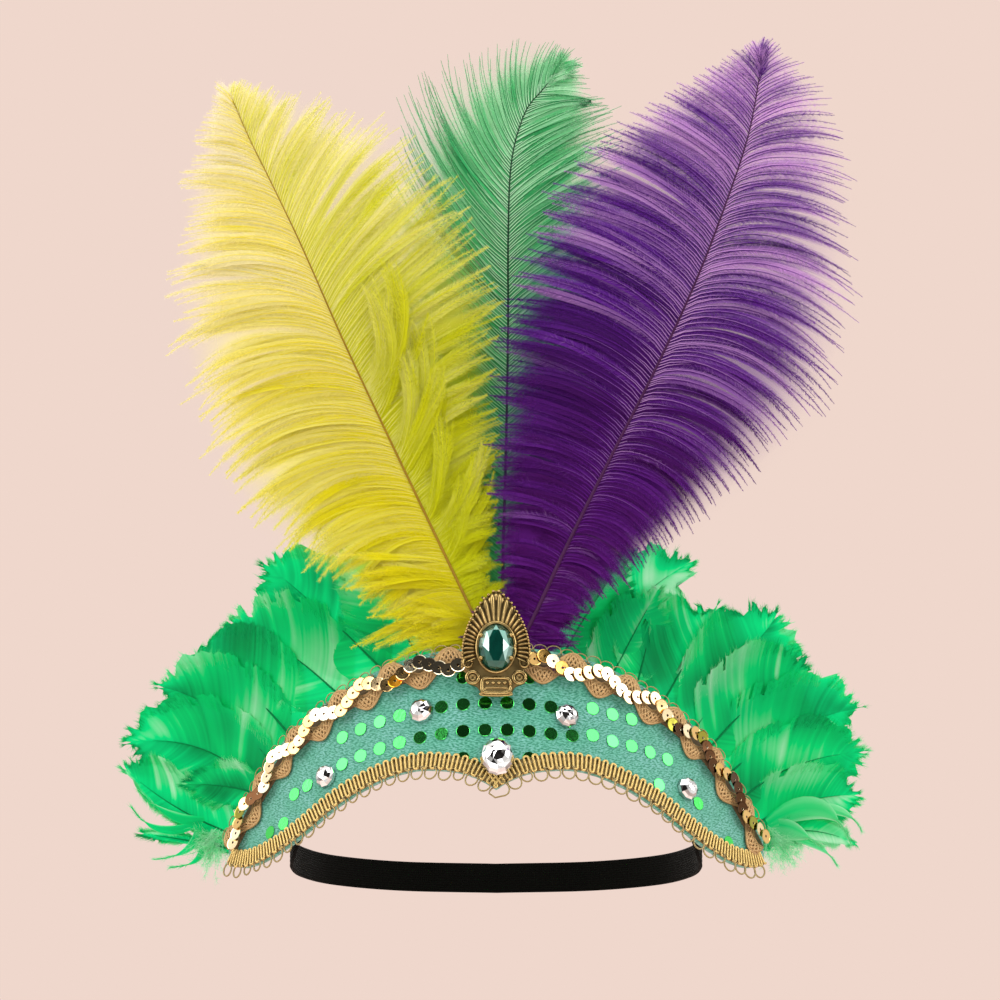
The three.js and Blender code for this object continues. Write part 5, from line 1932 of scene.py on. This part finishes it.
def barb_locks(count, size, rng):
    """Numbers the lock that each barb hangs in."""
    return np.cumsum(rng.random(count) < 1 / size)


def lock_centres(lock, values):
    """The mean value of each barb's lock."""
    return (np.bincount(lock, values) / np.maximum(np.bincount(lock), 1))[lock]


def slant_at(look, t):
    """Angles from the quill (radians) at which barbs leave it and end."""
    rows = np.array(look["slant"])
    return [np.radians(np.interp(t, rows[:, 0], rows[:, column])) for column in (1, 2)]


def quill_length(rows):
    """Length of a plume's quill."""
    return run_along(plume_frames(rows, np.linspace(0, 1, QUILL_STATIONS))[0])[-1]


def full_lengths(reach_at, whole, t, out, up, rounds, step):
    """Lengths at which barbs of a given shape end on an outline, whose reach is a function of t."""
    length = reach_at(t) / out[:, -1]
    for _ in range(rounds):
        reached = np.clip(t + length * up[:, -1] / whole, 0, 1)
        length = length + (reach_at(reached) / out[:, -1] - length) * step
    return length


def tuft_barbs(tuft, rng):
    """The loose barbs of a tuft: places along the quill, locks, slants, lengths and lifts."""
    barbs, locks, start, stop, root, end, short, long, lift = tuft
    lock = np.sort(rng.integers(0, locks, barbs))
    share = rng.random((2, locks))[:, lock]
    by_lock, by_barb = TUFT_TURN
    turn = by_lock * rng.normal(0, 1, (2, locks))[:, lock] + by_barb * rng.normal(0, 1, (2, barbs))
    t = start + (stop - start) * share[0] + rng.normal(0, TUFT_STRAY, barbs)
    length = (short + (long - short) * share[1]) * rng.uniform(*TUFT_LENGTH, barbs)
    lifts = lift * (TUFT_LIFT + (1 - TUFT_LIFT) * rng.random(locks)[lock])
    slants = np.radians(root) + turn[0], np.radians(end) + 2 * turn[1]
    return [np.clip(t, TUFT_START, BARB_END), lock, *slants, length, lifts]


def barb_paths(rows, side, look, tufts, rng, loose=1.0):
    """Paths of the barbs on one side of a plume (barb, step, place), with their fronts, directions and
    places along the quill, lengths and lock numbers. The loose barbs come last. Without any looseness
    the barbs lie smoothly side by side."""
    count = look["barbs"]
    spread = np.linspace(BARB_START, BARB_END, count) + loose * rng.normal(0, BARB_STRAY / count, count)
    t = np.sort(np.clip(spread, BARB_START, BARB_END))
    lock = barb_locks(count, look["lock"], rng)
    grown = [t, lock, *slant_at(look, t), np.full(count, np.nan), np.zeros(count)]
    for tuft in tufts:
        more = tuft_barbs(tuft, rng)
        more[1] = more[1] + grown[1].max() + 1
        grown = [np.concatenate(pair) for pair in zip(grown, more)]
    t, lock, root, end, lengths, lifts = grown
    place, along, across, front = plume_frames(rows, t)
    locks = lock.max() + 1
    by_lock, by_barb = look["stray"]
    end = end + loose * (rng.normal(0, by_lock, locks)[lock] + rng.normal(0, by_barb, len(t)))
    u = np.linspace(0, 1, BARB_STEPS)
    theta = root[:, None] + (end - root)[:, None] * u ** look["bend"]
    waves = rng.uniform(*BARB_WAVES, len(t))[:, None]
    wave = np.sin(u * waves + rng.uniform(0, BARB_PHASE, len(t))[:, None])
    theta = theta + loose * BARB_WAVE * wave
    out = running_sum(np.sin(theta))
    up = running_sum(np.cos(theta))
    whole = quill_length(rows)

    def vane_reach(at):
        return from_table(rows, REACH_COLUMN[side], at)

    length = full_lengths(vane_reach, whole, t, out, up, FIT_ROUNDS, FIT_STEP)
    room = (look.get("over", NO_LIMIT) - t) * whole
    length = np.minimum(length, room / np.maximum(up[:, -1], LEAST_RISE))
    uneven = rng.uniform(*LOCK_UNEVEN, locks)[lock] * rng.uniform(*BARB_UNEVEN, len(t))
    length *= 1 + loose * (uneven - 1)
    length = np.where(np.isnan(lengths), length, lengths)
    reach = out * length[:, None]
    gather = (lock_centres(lock, t) - t) * whole * look["gather"] * loose
    rise = up * length[:, None] + gather[:, None] * u ** BARB_GATHER_POWER
    lift = PLUME_CURL * (reach / PLUME_CURL_REACH) ** 2 + lifts[:, None] * u
    by_lock, by_barb = LIFT_STRAY
    lift = lift + loose * (rng.normal(0, by_lock, locks)[lock] + rng.normal(0, by_barb, len(t)))[:, None] * u
    paths = place[:, None] + SIDE_SIGN[side] * across[:, None] * reach[..., None]
    paths = paths + along[:, None] * rise[..., None] + front[:, None] * lift[..., None]
    return paths, front, along, length, t, lock


def add_ribbons(parts, paths, fronts, widths, tones, roll=None):
    """Adds a flat ribbon along each path."""
    count, steps = paths.shape[:2]
    tangent = unit(np.gradient(paths, axis=1))
    facing = fronts[:, None] if fronts.ndim == 2 else fronts
    across = unit(np.cross(tangent, np.broadcast_to(facing, tangent.shape)))
    if roll is not None:
        across = unit(across + np.cross(across, tangent) * roll[:, None, None])
    half = across * widths[..., None] / 2
    vertices = np.stack([paths + half, paths - half], 2)
    faces = grid_triangles(steps, 2)
    triangles = faces[None] + (np.arange(count) * steps * 2)[:, None, None]
    values = tones.reshape(count * steps, -1)
    parts.add(vertices, triangles, np.repeat(values, 2, axis=0))


def along_paths(paths, path, u):
    """Points and directions at a share of the way along the numbered paths."""
    steps = paths.shape[1]
    spot = u * (steps - 1)
    low = np.minimum(spot.astype(int), steps - 2)
    share = (spot - low)[:, None]
    start, stop = paths[path, low], paths[path, low + 1]
    return start * (1 - share) + stop * share, unit(stop - start)


def add_barbules(parts, paths, fronts, path, u, sizes, widths, tones, rng):
    """Adds fine tapering strands that branch off the numbered paths on both sides."""
    count = len(path)
    base, along = along_paths(paths, path, u)
    front = fronts[path]
    beside = unit(np.cross(along, front)) * np.where(rng.random(count) < 0.5, 1, -1)[:, None]
    tilt = rng.normal(0, BARBULE_TILT, count)[:, None]
    away = beside * np.cos(tilt) + front * np.sin(tilt)
    angle = np.radians(rng.uniform(*BARBULE_ANGLES, count))[:, None]
    strand = along * np.cos(angle) + away * np.sin(angle)
    tip = base + strand * sizes[:, None]
    facing = front + rng.normal(0, BARBULE_TURN, (count, 3))
    flat = unit(np.cross(strand, facing)) * widths[:, None] / 2
    vertices = np.stack([base + flat, base - flat, tip], 1)
    values = np.stack([tones, tones, tones + BARBULE_PALE], 1)
    parts.add(vertices, loose_triangles(count), values)


def web_shades(look, t, lock, u, rng):
    """Shades of the web along each barb: darker towards the plume's foot as painted shade, streaks by lock
    and barb, and some dark spots.
    """
    by_lock, by_barb = look["streak"]
    streak = by_lock * rng.normal(0, 1, lock.max() + 1)[lock] + by_barb * rng.normal(0, 1, len(t))
    spot = rng.uniform(*SPOT_AT, len(t))[:, None]
    depth = (rng.uniform(0, SPOT_DEPTH, len(t)) * (rng.random(len(t)) < SPOT_SHARE))[:, None]
    shade = from_pairs(look["tone"], t)[:, None] + streak[:, None] + END_PALE * u
    return np.clip(shade - depth * np.exp(-((u - spot) / SPOT_WIDTH) ** 2), 0, 1)


def add_haze(parts, rows, side, look, rng):
    """Adds the smooth film of down that lies behind the barbs and fades towards their ends."""
    smooth = {**look, "barbs": HAZE_ROWS}
    paths, fronts, _, _, t, _ = barb_paths(rows, side, smooth, (), rng, loose=0.0)
    paths = paths - fronts[:, None] * HAZE_DEPTH
    u = np.linspace(0, 1, BARB_STEPS)
    shade = from_pairs(look["tone"], t)[:, None] + rng.normal(*HAZE_SHADE, (HAZE_ROWS, 1)) + END_PALE * u
    thick = from_pairs(look["cover"], t) * look["haze"] * (1 - HAZE_THIN * smooth_share(t, *HAZE_THIN_AT))
    cover = thick[:, None] * (1 - smooth_share(u, *HAZE_FADE_AT))
    faces = grid_triangles(HAZE_ROWS, BARB_STEPS)
    if side == "left":
        faces = faces[:, ::-1]
    parts.add(paths, faces, np.stack([np.clip(shade, 0, 1), cover], -1).reshape(-1, 2))


def plume_side(plume, side):
    """One side of a plume: its translucent web, and its barbs with their barbules, each barb drawn as a dark
    line of painted shade beside a lit line of painted highlight.
    """
    look = {**PLUME_BOTH[plume], **PLUME_LOOKS[plume, side]}
    rng = np.random.default_rng(100 + 10 * list(PLUMES).index(plume) + (side == "right"))
    growth = barb_paths(PLUMES[plume], side, look, PLUME_TUFTS[plume, side], rng)
    paths, fronts, along, lengths, t, lock = growth
    count = len(t)
    u = np.linspace(0, 1, BARB_STEPS)
    shades = web_shades(look, t, lock, u, rng)
    cover = from_pairs(look["cover"], t)[:, None] * rng.uniform(*COVER_UNEVEN, (count, 1))
    cover = np.clip(cover, 0, 1) * (1 - smooth_share(u, look["closed"] - COVER_FADE, look["closed"]))
    web = MeshParts()
    shown = int(look["closed"] * (BARB_STEPS - 1)) + 2
    widths = np.broadcast_to(from_pairs(WEB_WIDTHS, u), shades.shape)
    both = np.stack([shades, cover], -1)
    roll = rng.normal(0, WEB_ROLL, count)
    add_ribbons(web, paths[:, :shown], fronts, widths[:, :shown], both[:, :shown], roll)
    add_haze(web, PLUMES[plume], side, look, np.random.default_rng(HAZE_ROWS))
    barbs = MeshParts()
    # Each barb is a dark line, a painted shade, with a pale lit line beside it, a painted highlight
    dark, lit = look["lines"]
    near = np.exp(-((u / LIT_REACH) ** 2))
    lines = paths + fronts[:, None] * LINE_LIFT
    tones = np.clip(dark + DARK_SHARE * (shades - DARK_MIDDLE) * (u > DARK_FROM), 0, 1)
    thin = np.broadcast_to(LINE_WIDTH * (1 - LINE_TAPER * u), shades.shape)
    add_ribbons(barbs, lines, fronts, thin, tones)
    upper = LIT_FOOT + (1 - LIT_FOOT) * smooth_share(t, *LIT_RISE)
    painted_highlight = np.maximum(near, rng.random((count, 1)) - LIT_RARE) * upper[:, None]
    gleam = np.clip(shades + (lit - shades) * painted_highlight, 0, 1)
    beside = along[:, None] * LIT_OFFSET + fronts[:, None] * LIT_LIFT
    wide, fall, least = LIT_WIDTH
    add_ribbons(barbs, lines + beside, fronts, thin * np.clip(wide - fall * u, least, 1), gleam)
    crowd = from_pairs(look["crowd"], t) * lengths
    path = np.sort(rng.choice(count, look["strands"], p=crowd / crowd.sum()))
    spot = rng.random(len(path))
    grown = FLUFF_ROOT + (1 - FLUFF_ROOT) * smooth_share(spot, 0, FLUFF_WHOLE)
    sizes = look["fluff"] * grown * (1 - look["fade"] * spot ** FADE_POWER)
    sizes = sizes * rng.uniform(*FLUFF_UNEVEN, len(path))
    tint = shades[path, (spot * (BARB_STEPS - 1)).astype(int)]
    tint = tint + rng.normal(FLUFF_SHADE[0], FLUFF_SHADE[1] * look["streak"][1], len(path))
    widths = np.full(len(path), look["thin"])
    add_barbules(barbs, paths, fronts, path, spot, sizes, widths, np.clip(tint, 0, 1), rng)
    return web.piece(f"{plume}_web_{side}", ("tone", "cover")), barbs.piece(f"{plume}_barbs_{side}")


def quill_piece(plume, diameter):
    """The tapering quill of a plume."""
    t = np.linspace(0, BARB_END + QUILL_PAST, QUILL_STATIONS)
    place, _, _, front = plume_frames(PLUMES[plume], t)
    parts = MeshParts()
    radius = diameter / 2 * (1 - QUILL_TAPER * t ** QUILL_POWER)
    add_cord(parts, place + front * QUILL_LIFT, front, radius, sides=9)
    return parts.piece(f"{plume}_quill", "thread")


def quill_material(name, colour):
    """Dyed quill, faintly streaked."""
    material, tree, shader = new_material(name, Roughness=0.5, Specular_IOR_Level=0.2)
    streak = noise_node(tree, scale=160, detail=3.0)
    paint(tree, shader, streak, shaded(colour, 0.6), colour)
    return material


def plume_materials(name, shades):
    """The materials of a plume's barbs and of its web."""
    barbs = plumage_material(f"{name}_plumage", shades, through=0.4, foot=FOOT_SHARE)
    return barbs, plumage_material(f"{name}_web", shades, through=0.4, foot=FOOT_SHARE, web=True)


class HEADDRESS_OT_plumes(bpy.types.Operator):
    """Make the three ostrich plumes"""

    bl_idname = "headdress.plumes"
    bl_label = "Plumes"

    def execute(self, context):
        colours = context.scene.headdress_colours
        sizes = context.scene.headdress_sizes
        purple = tuple(colours.plume_purple)
        yellow = tuple(colours.plume_yellow)
        green = tuple(colours.plume_green)
        # For each plume: its dark colour and painted shade, its main colour, its pale colour and painted
        # highlight, and its darker foot colour
        dyes_and_painted_light = {
            "purple": (shaded(purple, 0.3), purple, linear(214, 166, 226), linear(92, 2, 106)),
            "yellow": (shaded(yellow, 0.6), yellow, linear(236, 230, 194), linear(212, 206, 4)),
            "green": (shaded(green, 0.24), green, linear(196, 242, 206), green),
        }
        lime = (shaded(yellow, 0.5), linear(214, 216, 24), linear(240, 234, 168), linear(198, 204, 4))
        shafts = {"purple": linear(62, 12, 66), "yellow": linear(150, 116, 14), "green": linear(14, 60, 36)}
        for plume, shades in dyes_and_painted_light.items():
            dye_and_painted_light, film = plume_materials(plume, shades)
            shaft = quill_piece(plume, sizes.quill / MM * QUILL_SHARE[plume])
            horn = quill_material(f"{plume}_quill", shafts[plume])
            finish_piece(shaft, horn, [f"plume_{plume}_quill"])
            for side in SIDE_SIGN:
                if (plume, side) == ("yellow", "right"):
                    dye_and_painted_light, film = plume_materials("lime", lime)
                web, barbs = plume_side(plume, side)
                finish_piece(web, film)
                finish_piece(barbs, dye_and_painted_light, [f"plume_{plume}_vane_{side}"])
        return {"FINISHED"}


# Side feathers

FAN = dict(x=36.0, y=-40.3, z=62.0, slope_x=0.56, slope_z=0.12, step=4.0, step_from=70.0, step_to=92.0)
# Roots of the side feathers: clearance from the band's back, step of a layer, heights above the band's
# edge where they come away from it, how far out that starts, and fall of the edge beyond its ends
ROOT_CLEAR = 0.6
ROOT_STEP = 0.35
ROOT_RANGE = (-2.0, 22.0)
ROOT_OUTSIDE = (30.0, 46.0)
ROOT_END_FALL = 3.0
FAN_OVAL = dict(half_x=91.0, half_z=72.0, size=80.0, part_from=-2.0, part_to=16.0)


def fan_depth(x, z, layer):
    """Depth of a layer of side feathers: as in the frame, and towards the roots down to the band's back."""
    out = np.abs(x)
    step = FAN["step"] * smooth_share(out, FAN["step_from"], FAN["step_to"])
    slope = FAN["slope_x"] * (out - FAN["x"]) + FAN["slope_z"] * (z - FAN["z"])
    outside = (np.hypot(x / FAN_OVAL["half_x"], z / FAN_OVAL["half_z"]) - 1) * FAN_OVAL["size"]
    apart = smooth_share(outside, FAN_OVAL["part_from"], FAN_OVAL["part_to"])
    free = FAN["y"] + slope + step + layer * (LAYER_STEP + LAYER_SPREAD * apart)
    root = band_points(x, z, 0 * x - BAND_WALL)[..., 1] + ROOT_CLEAR + ROOT_STEP * layer
    above = z - edge_heights(HIGH, x) + ROOT_END_FALL * np.maximum(0, out - BAND_HALF)
    sewn = (1 - smooth_share(above, *ROOT_RANGE)) * smooth_share(out, *ROOT_OUTSIDE)
    return free + (root - free) * sewn


def fan_place(x, z, layer):
    """Points of a layer of side feathers."""
    return np.stack([x, fan_depth(x, z, layer), z], -1)


def fan_normal(x, z, layer):
    """Forward normals of a layer of side feathers."""
    step = 0.5
    slope_x = (fan_depth(x + step, z, layer) - fan_depth(x - step, z, layer)) / (2 * step)
    slope_z = (fan_depth(x, z + step, layer) - fan_depth(x, z - step, layer)) / (2 * step)
    return unit(np.stack([slope_x, -np.ones_like(slope_x), slope_z], -1))


def spine_points(feather, t):
    """Places (x, z) and directions along a side feather's spine."""
    x0, z0, x1, z1, x2, z2 = feather[SPINE]
    start, end = np.array((x0, z0)), np.array((x2, z2))
    bend = 2 * np.array((x1, z1)) - (start + end) / 2
    s = t[:, None]
    place = start * (1 - s) ** 2 + bend * 2 * s * (1 - s) + end * s * s
    return place, unit((bend - start) * (1 - s) + (end - bend) * s)


def web_paths(feather, side, count, rng):
    """Paths of the web's barbs on one side of a side feather, with normals and lock numbers."""
    wide, layer = feather[BREADTH:]
    t = np.linspace(*WEB_SPAN, count)
    spine, along = spine_points(feather, t)
    across = np.stack([along[:, 1], -along[:, 0]], -1) * side
    lock = barb_locks(count, WEB_LOCK, rng)
    locks = lock.max() + 1
    root, end = np.radians(FEATHER_ANGLES)
    u = np.linspace(0, 1, FEATHER_STEPS)
    turn = 1 - TIP_TURN * smooth_share(t, *TIP_FAN)
    starts = root * turn[:, None]
    ends = (end + rng.normal(0, LOCK_STRAY, locks)[lock] + FEATHER_TURN * (0.5 - t)) * turn
    theta = starts + (ends[:, None] - starts) * u
    out = running_sum(np.sin(theta))
    up = running_sum(np.cos(theta))
    whole = run_along(spine_points(feather, np.linspace(0, 1, 40))[0])[-1]

    def web_reach(at):
        return from_table(WEB_FORM, 1, at) * wide / 2

    length = full_lengths(web_reach, whole, t, out, up, WEB_FIT_ROUNDS, WEB_FIT_STEP)
    length = np.clip(length, TIP_HAIR, (TIP_END - t) * whole + TIP_HAIR)
    length = length * rng.uniform(*WEB_LOCK_UNEVEN, locks)[lock] * rng.uniform(*WEB_BARB_UNEVEN, count)
    gather = (lock_centres(lock, t) - t) * whole
    reach = out * length[:, None]
    rise = up * length[:, None] + gather[:, None] * LOCK_GATHER * u ** 3
    flat = spine[:, None] + across[:, None] * reach[..., None] + along[:, None] * rise[..., None]
    x, z = flat[..., 0], flat[..., 1]
    normal = fan_normal(x, z, layer)
    phase, _ = rng.uniform(0, 2 * math.pi, 2)
    depth = (RIPPLE_DEPTH[0] + RIPPLE_DEPTH[1] * u) * np.minimum(1, reach / RIPPLE_START)
    ripple = np.sin(t[:, None] * RIPPLE_WAVES + phase + 2 * u) * depth
    by_lock = rng.normal(0, LOCK_CURL, locks)[lock][:, None] * u ** 3
    curl = WEB_CURL * (reach / WEB_CURL_REACH) ** 2 + ripple + by_lock
    return fan_place(x, z, layer) - normal * curl[..., None], normal, lock


def add_web(parts, paths, lock, tones, rng):
    """Adds a smooth web over the barbs, open between locks towards their ends."""
    count, steps = paths.shape[:2]
    split = np.where(np.diff(lock) > 0, rng.integers(steps - 3, steps, count - 1), steps)
    faces = grid_triangles(count, steps)
    row = faces.min(axis=1) // steps
    column = faces.min(axis=1) % steps
    parts.add(paths, faces[column < split[row]], tones)


def add_fringe(parts, paths, normal, tones, rng):
    """Adds hairs that run on from the ends of the web's barbs."""
    barb = np.repeat(np.arange(len(paths)), FRINGE_HAIRS)
    count = len(barb)
    u = rng.uniform(*FRINGE_SPAN, count)
    base, along = along_paths(paths, barb, u)
    front = normal[barb, -1]
    beside = unit(np.cross(along, front))
    aside, forward = (rng.normal(0, stray, (count, 1)) for stray in FRINGE_STRAY)
    aim = unit(along + beside * aside + front * forward)
    tip = base + aim * rng.uniform(*FRINGE_LENGTH, count)[:, None]
    flat = beside * FRINGE_HALF
    corners = np.stack([base + flat, base - flat, tip], 1)
    parts.add(corners, loose_triangles(count), np.repeat(tones[barb, -1], 3))


def add_wisp(parts, wisp, layer, rng):
    """Adds a loose curled lock: a few barbs that run together to a point."""
    x0, z0, x1, z1, x2, z2, wide = wisp
    u = np.linspace(0, 1, BARB_STEPS)
    flat, along = spine_points((x0, z0, x1, z1, x2, z2), u)
    beside = np.stack([along[:, 1], -along[:, 0]], -1)
    offsets = np.linspace(-0.5, 0.5, WISP_LINES)
    waves, start, power = WISP_SWELL
    swell = np.sin(np.minimum(1, u * waves + start) * math.pi) ** power
    lines = flat[None] + beside[None] * (offsets[:, None] * wide * swell)[..., None]
    place = fan_place(lines[..., 0], lines[..., 1], layer)
    normal = fan_normal(lines[..., 0], lines[..., 1], layer)
    place = place + normal * (WISP_LIFT * np.cos(offsets * 2)[:, None, None] * u[None, :, None])
    rim = WISP_RIM * np.abs(2 * offsets[:, None]) ** 4
    base, right, stray, end = WISP_TONE
    tones = base + right * (x0 > 0) + rng.normal(0, stray, (WISP_LINES, 1)) + end * u + rim * u
    tones = np.clip(tones, 0, 1)
    parts.add(place, grid_triangles(WISP_LINES, BARB_STEPS), tones)
    add_fringe(parts, place, normal, tones, rng)


def add_down(parts, tuft, layer, rng):
    """Adds a tuft of pale down."""
    x, z, reach, heading, count = tuft
    angle = np.radians(heading) + rng.normal(0, DOWN_SPREAD[0], count)
    bend = angle + rng.normal(0, DOWN_SPREAD[1], count)
    u = np.linspace(0, 1, BARB_STEPS)
    size = reach * rng.uniform(*DOWN_UNEVEN, count)
    theta = angle[:, None] + (bend - angle)[:, None] * u
    px = x + rng.normal(0, DOWN_STRAY, count)[:, None] + running_sum(np.cos(theta)) * size[:, None]
    pz = z + rng.normal(0, DOWN_STRAY, count)[:, None] + running_sum(np.sin(theta)) * size[:, None]
    paths = fan_place(px, pz, layer)
    normal = fan_normal(px, pz, layer)
    paths = paths + normal * (rng.uniform(*DOWN_LIFT, count)[:, None] * u)[..., None]
    tones = np.clip(rng.normal(*DOWN_TONE, count), 0, 1)
    wide, fall = DOWN_WIDTH
    add_ribbons(parts, paths, normal, np.broadcast_to(wide - fall * u, px.shape), tones[:, None] + 0 * u)
    path = np.repeat(np.arange(count), DOWN_BARBULES)
    total = len(path)
    widths = np.full(total, DOWN_THIN)
    sizes = rng.uniform(*DOWN_FLUFF, total)
    add_barbules(parts, paths, normal[:, 0], path, rng.random(total), sizes, widths, tones[path], rng)


def add_feather(parts, feather, rng, low=1.0):
    """Adds one side feather: its quill, and its web with splits and a fringe."""
    layer = feather[LAYER]
    # A random shade for each feather, lowered by side as painted shade
    shade = rng.uniform(-SHADE_STRAY, SHADE_STRAY) + SIDE_SHADE["left" if feather[0] < 0 else "right"]
    u = np.linspace(0, 1, FEATHER_STEPS)
    for side in (-1, 1):
        wide = feather[BREADTH] * (low if side == np.sign(feather[0]) else 1)
        paths, normal, lock = web_paths((*feather[SPINE], wide, layer), side, FEATHER_BARBS, rng)
        t = np.linspace(0, 1, FEATHER_BARBS)[:, None]
        turn = rng.uniform(0, 2 * math.pi, 2)
        # Waves of painted shade across the web, as of folds
        fold_shade = np.sin(t * FOLD_SHADE_WAVES[0] + turn[0] + u) * np.cos(u * FOLD_SHADE_WAVES[1] + turn[1])
        tones = TONE_BASE + TONE_SHADE * shade + TONE_FOLD_SHADE * fold_shade
        tones = tones + rng.normal(0, TONE_STRAY, (FEATHER_BARBS, 1)) + TONE_END * u ** 3
        streaks = np.convolve(rng.random(FEATHER_BARBS) < PALE_STREAKS, STREAK_BLUR, "same")
        tones = tones + PALE_RISE * streaks[:, None] * smooth_share(u, 0, STREAK_ROOT)
        # Pale places, partly painted light through thin parts and partly paler undersides
        for x, z, radius in PALE_SPOTS:
            away = np.hypot(paths[..., 0] - x, paths[..., 2] - z) / radius
            tones = tones + PALE_RISE * np.exp(-away ** 2)
        tones = np.clip(tones, 0, 1)
        add_web(parts, paths, lock, tones, rng)
        add_fringe(parts, paths, normal, tones, rng)
    t = np.linspace(0, SPINE_SHOWN, SPINE_STATIONS)
    spine, _ = spine_points(feather, t)
    place = fan_place(spine[:, 0], spine[:, 1], layer)
    front = fan_normal(spine[:, 0], spine[:, 1], layer)
    vertices, triangles, _ = cord_shape(place + front * SPINE_LIFT, front, SPINE_RADIUS * (1 - t))
    parts.add(vertices, triangles, np.zeros(len(vertices)))


def side_feather_piece(node, feather, seed):
    """One side feather with what is tied to it: a small feather, loose locks and down."""
    rng = np.random.default_rng(seed)
    parts = MeshParts()
    add_feather(parts, feather, rng, LOW_SIDE.get(node, 1))
    front = feather[LAYER] + TIED_LAYER
    if node in TIED_FEATHERS:
        add_feather(parts, (*TIED_FEATHERS[node], front), rng)
    for wisp in WISPS.get(node, ()):
        add_wisp(parts, wisp, front, rng)
    for tuft in DOWN.get(node, ()):
        add_down(parts, tuft, front, rng)
    return parts.piece(node.replace("feather", "side_feather"))


class HEADDRESS_OT_side_feathers(bpy.types.Operator):
    """Make the two fans of green side feathers"""

    bl_idname = "headdress.side_feathers"
    bl_label = "Side feathers"

    def execute(self, context):
        green = tuple(context.scene.headdress_colours.side_green)
        # A shaded copy of the green for painted shade and the dark quill, and a whitened copy for painted
        # highlight and pale places
        shades = (shaded(green, 0.4), green, toward(green, WHITE, 0.45), green)
        dye_and_painted_light = plumage_material("side_feather_green", shades, through=0.5)
        for number, (node, feather) in enumerate(SIDE_FEATHERS.items()):
            piece = side_feather_piece(node, feather, 500 + number)
            finish_piece(piece, dye_and_painted_light, [node])
        return {"FINISHED"}


class HEADDRESS_PT_sidebar(bpy.types.Panel):
    """Sizes, colours and steps of the headdress"""

    bl_label = "Carnival headdress"
    bl_space_type = "VIEW_3D"
    bl_region_type = "UI"
    bl_category = "Headdress"

    def draw(self, context):
        layout = self.layout
        for group in (context.scene.headdress_sizes, context.scene.headdress_colours):
            box = layout.box()
            for name in group.bl_rna.properties.keys():
                if name not in ("rna_type", "name"):
                    box.prop(group, name)
        for operator in OPERATORS:
            layout.operator(operator.bl_idname)


OPERATORS = (
    HEADDRESS_OT_stage,
    HEADDRESS_OT_band,
    HEADDRESS_OT_braids,
    HEADDRESS_OT_sequins,
    HEADDRESS_OT_stones,
    HEADDRESS_OT_brooch,
    HEADDRESS_OT_strap,
    HEADDRESS_OT_plumes,
    HEADDRESS_OT_side_feathers,
)
CLASSES = (HeaddressSizes, HeaddressColours, *OPERATORS, HEADDRESS_PT_sidebar)


def register():
    """Registers the classes and their settings."""
    for item in CLASSES:
        bpy.utils.register_class(item)
    bpy.types.Scene.headdress_sizes = bpy.props.PointerProperty(type=HeaddressSizes)
    bpy.types.Scene.headdress_colours = bpy.props.PointerProperty(type=HeaddressColours)


def unregister():
    """Removes what register added."""
    del bpy.types.Scene.headdress_colours
    del bpy.types.Scene.headdress_sizes
    for item in reversed(CLASSES):
        bpy.utils.unregister_class(item)


def main():
    """Makes every piece."""
    register()
    bpy.ops.headdress.stage()
    bpy.ops.headdress.band()
    bpy.ops.headdress.braids()
    bpy.ops.headdress.sequins()
    bpy.ops.headdress.stones()
    bpy.ops.headdress.brooch()
    bpy.ops.headdress.strap()
    bpy.ops.headdress.plumes()
    bpy.ops.headdress.side_feathers()


if __name__ == "__main__":
    main()
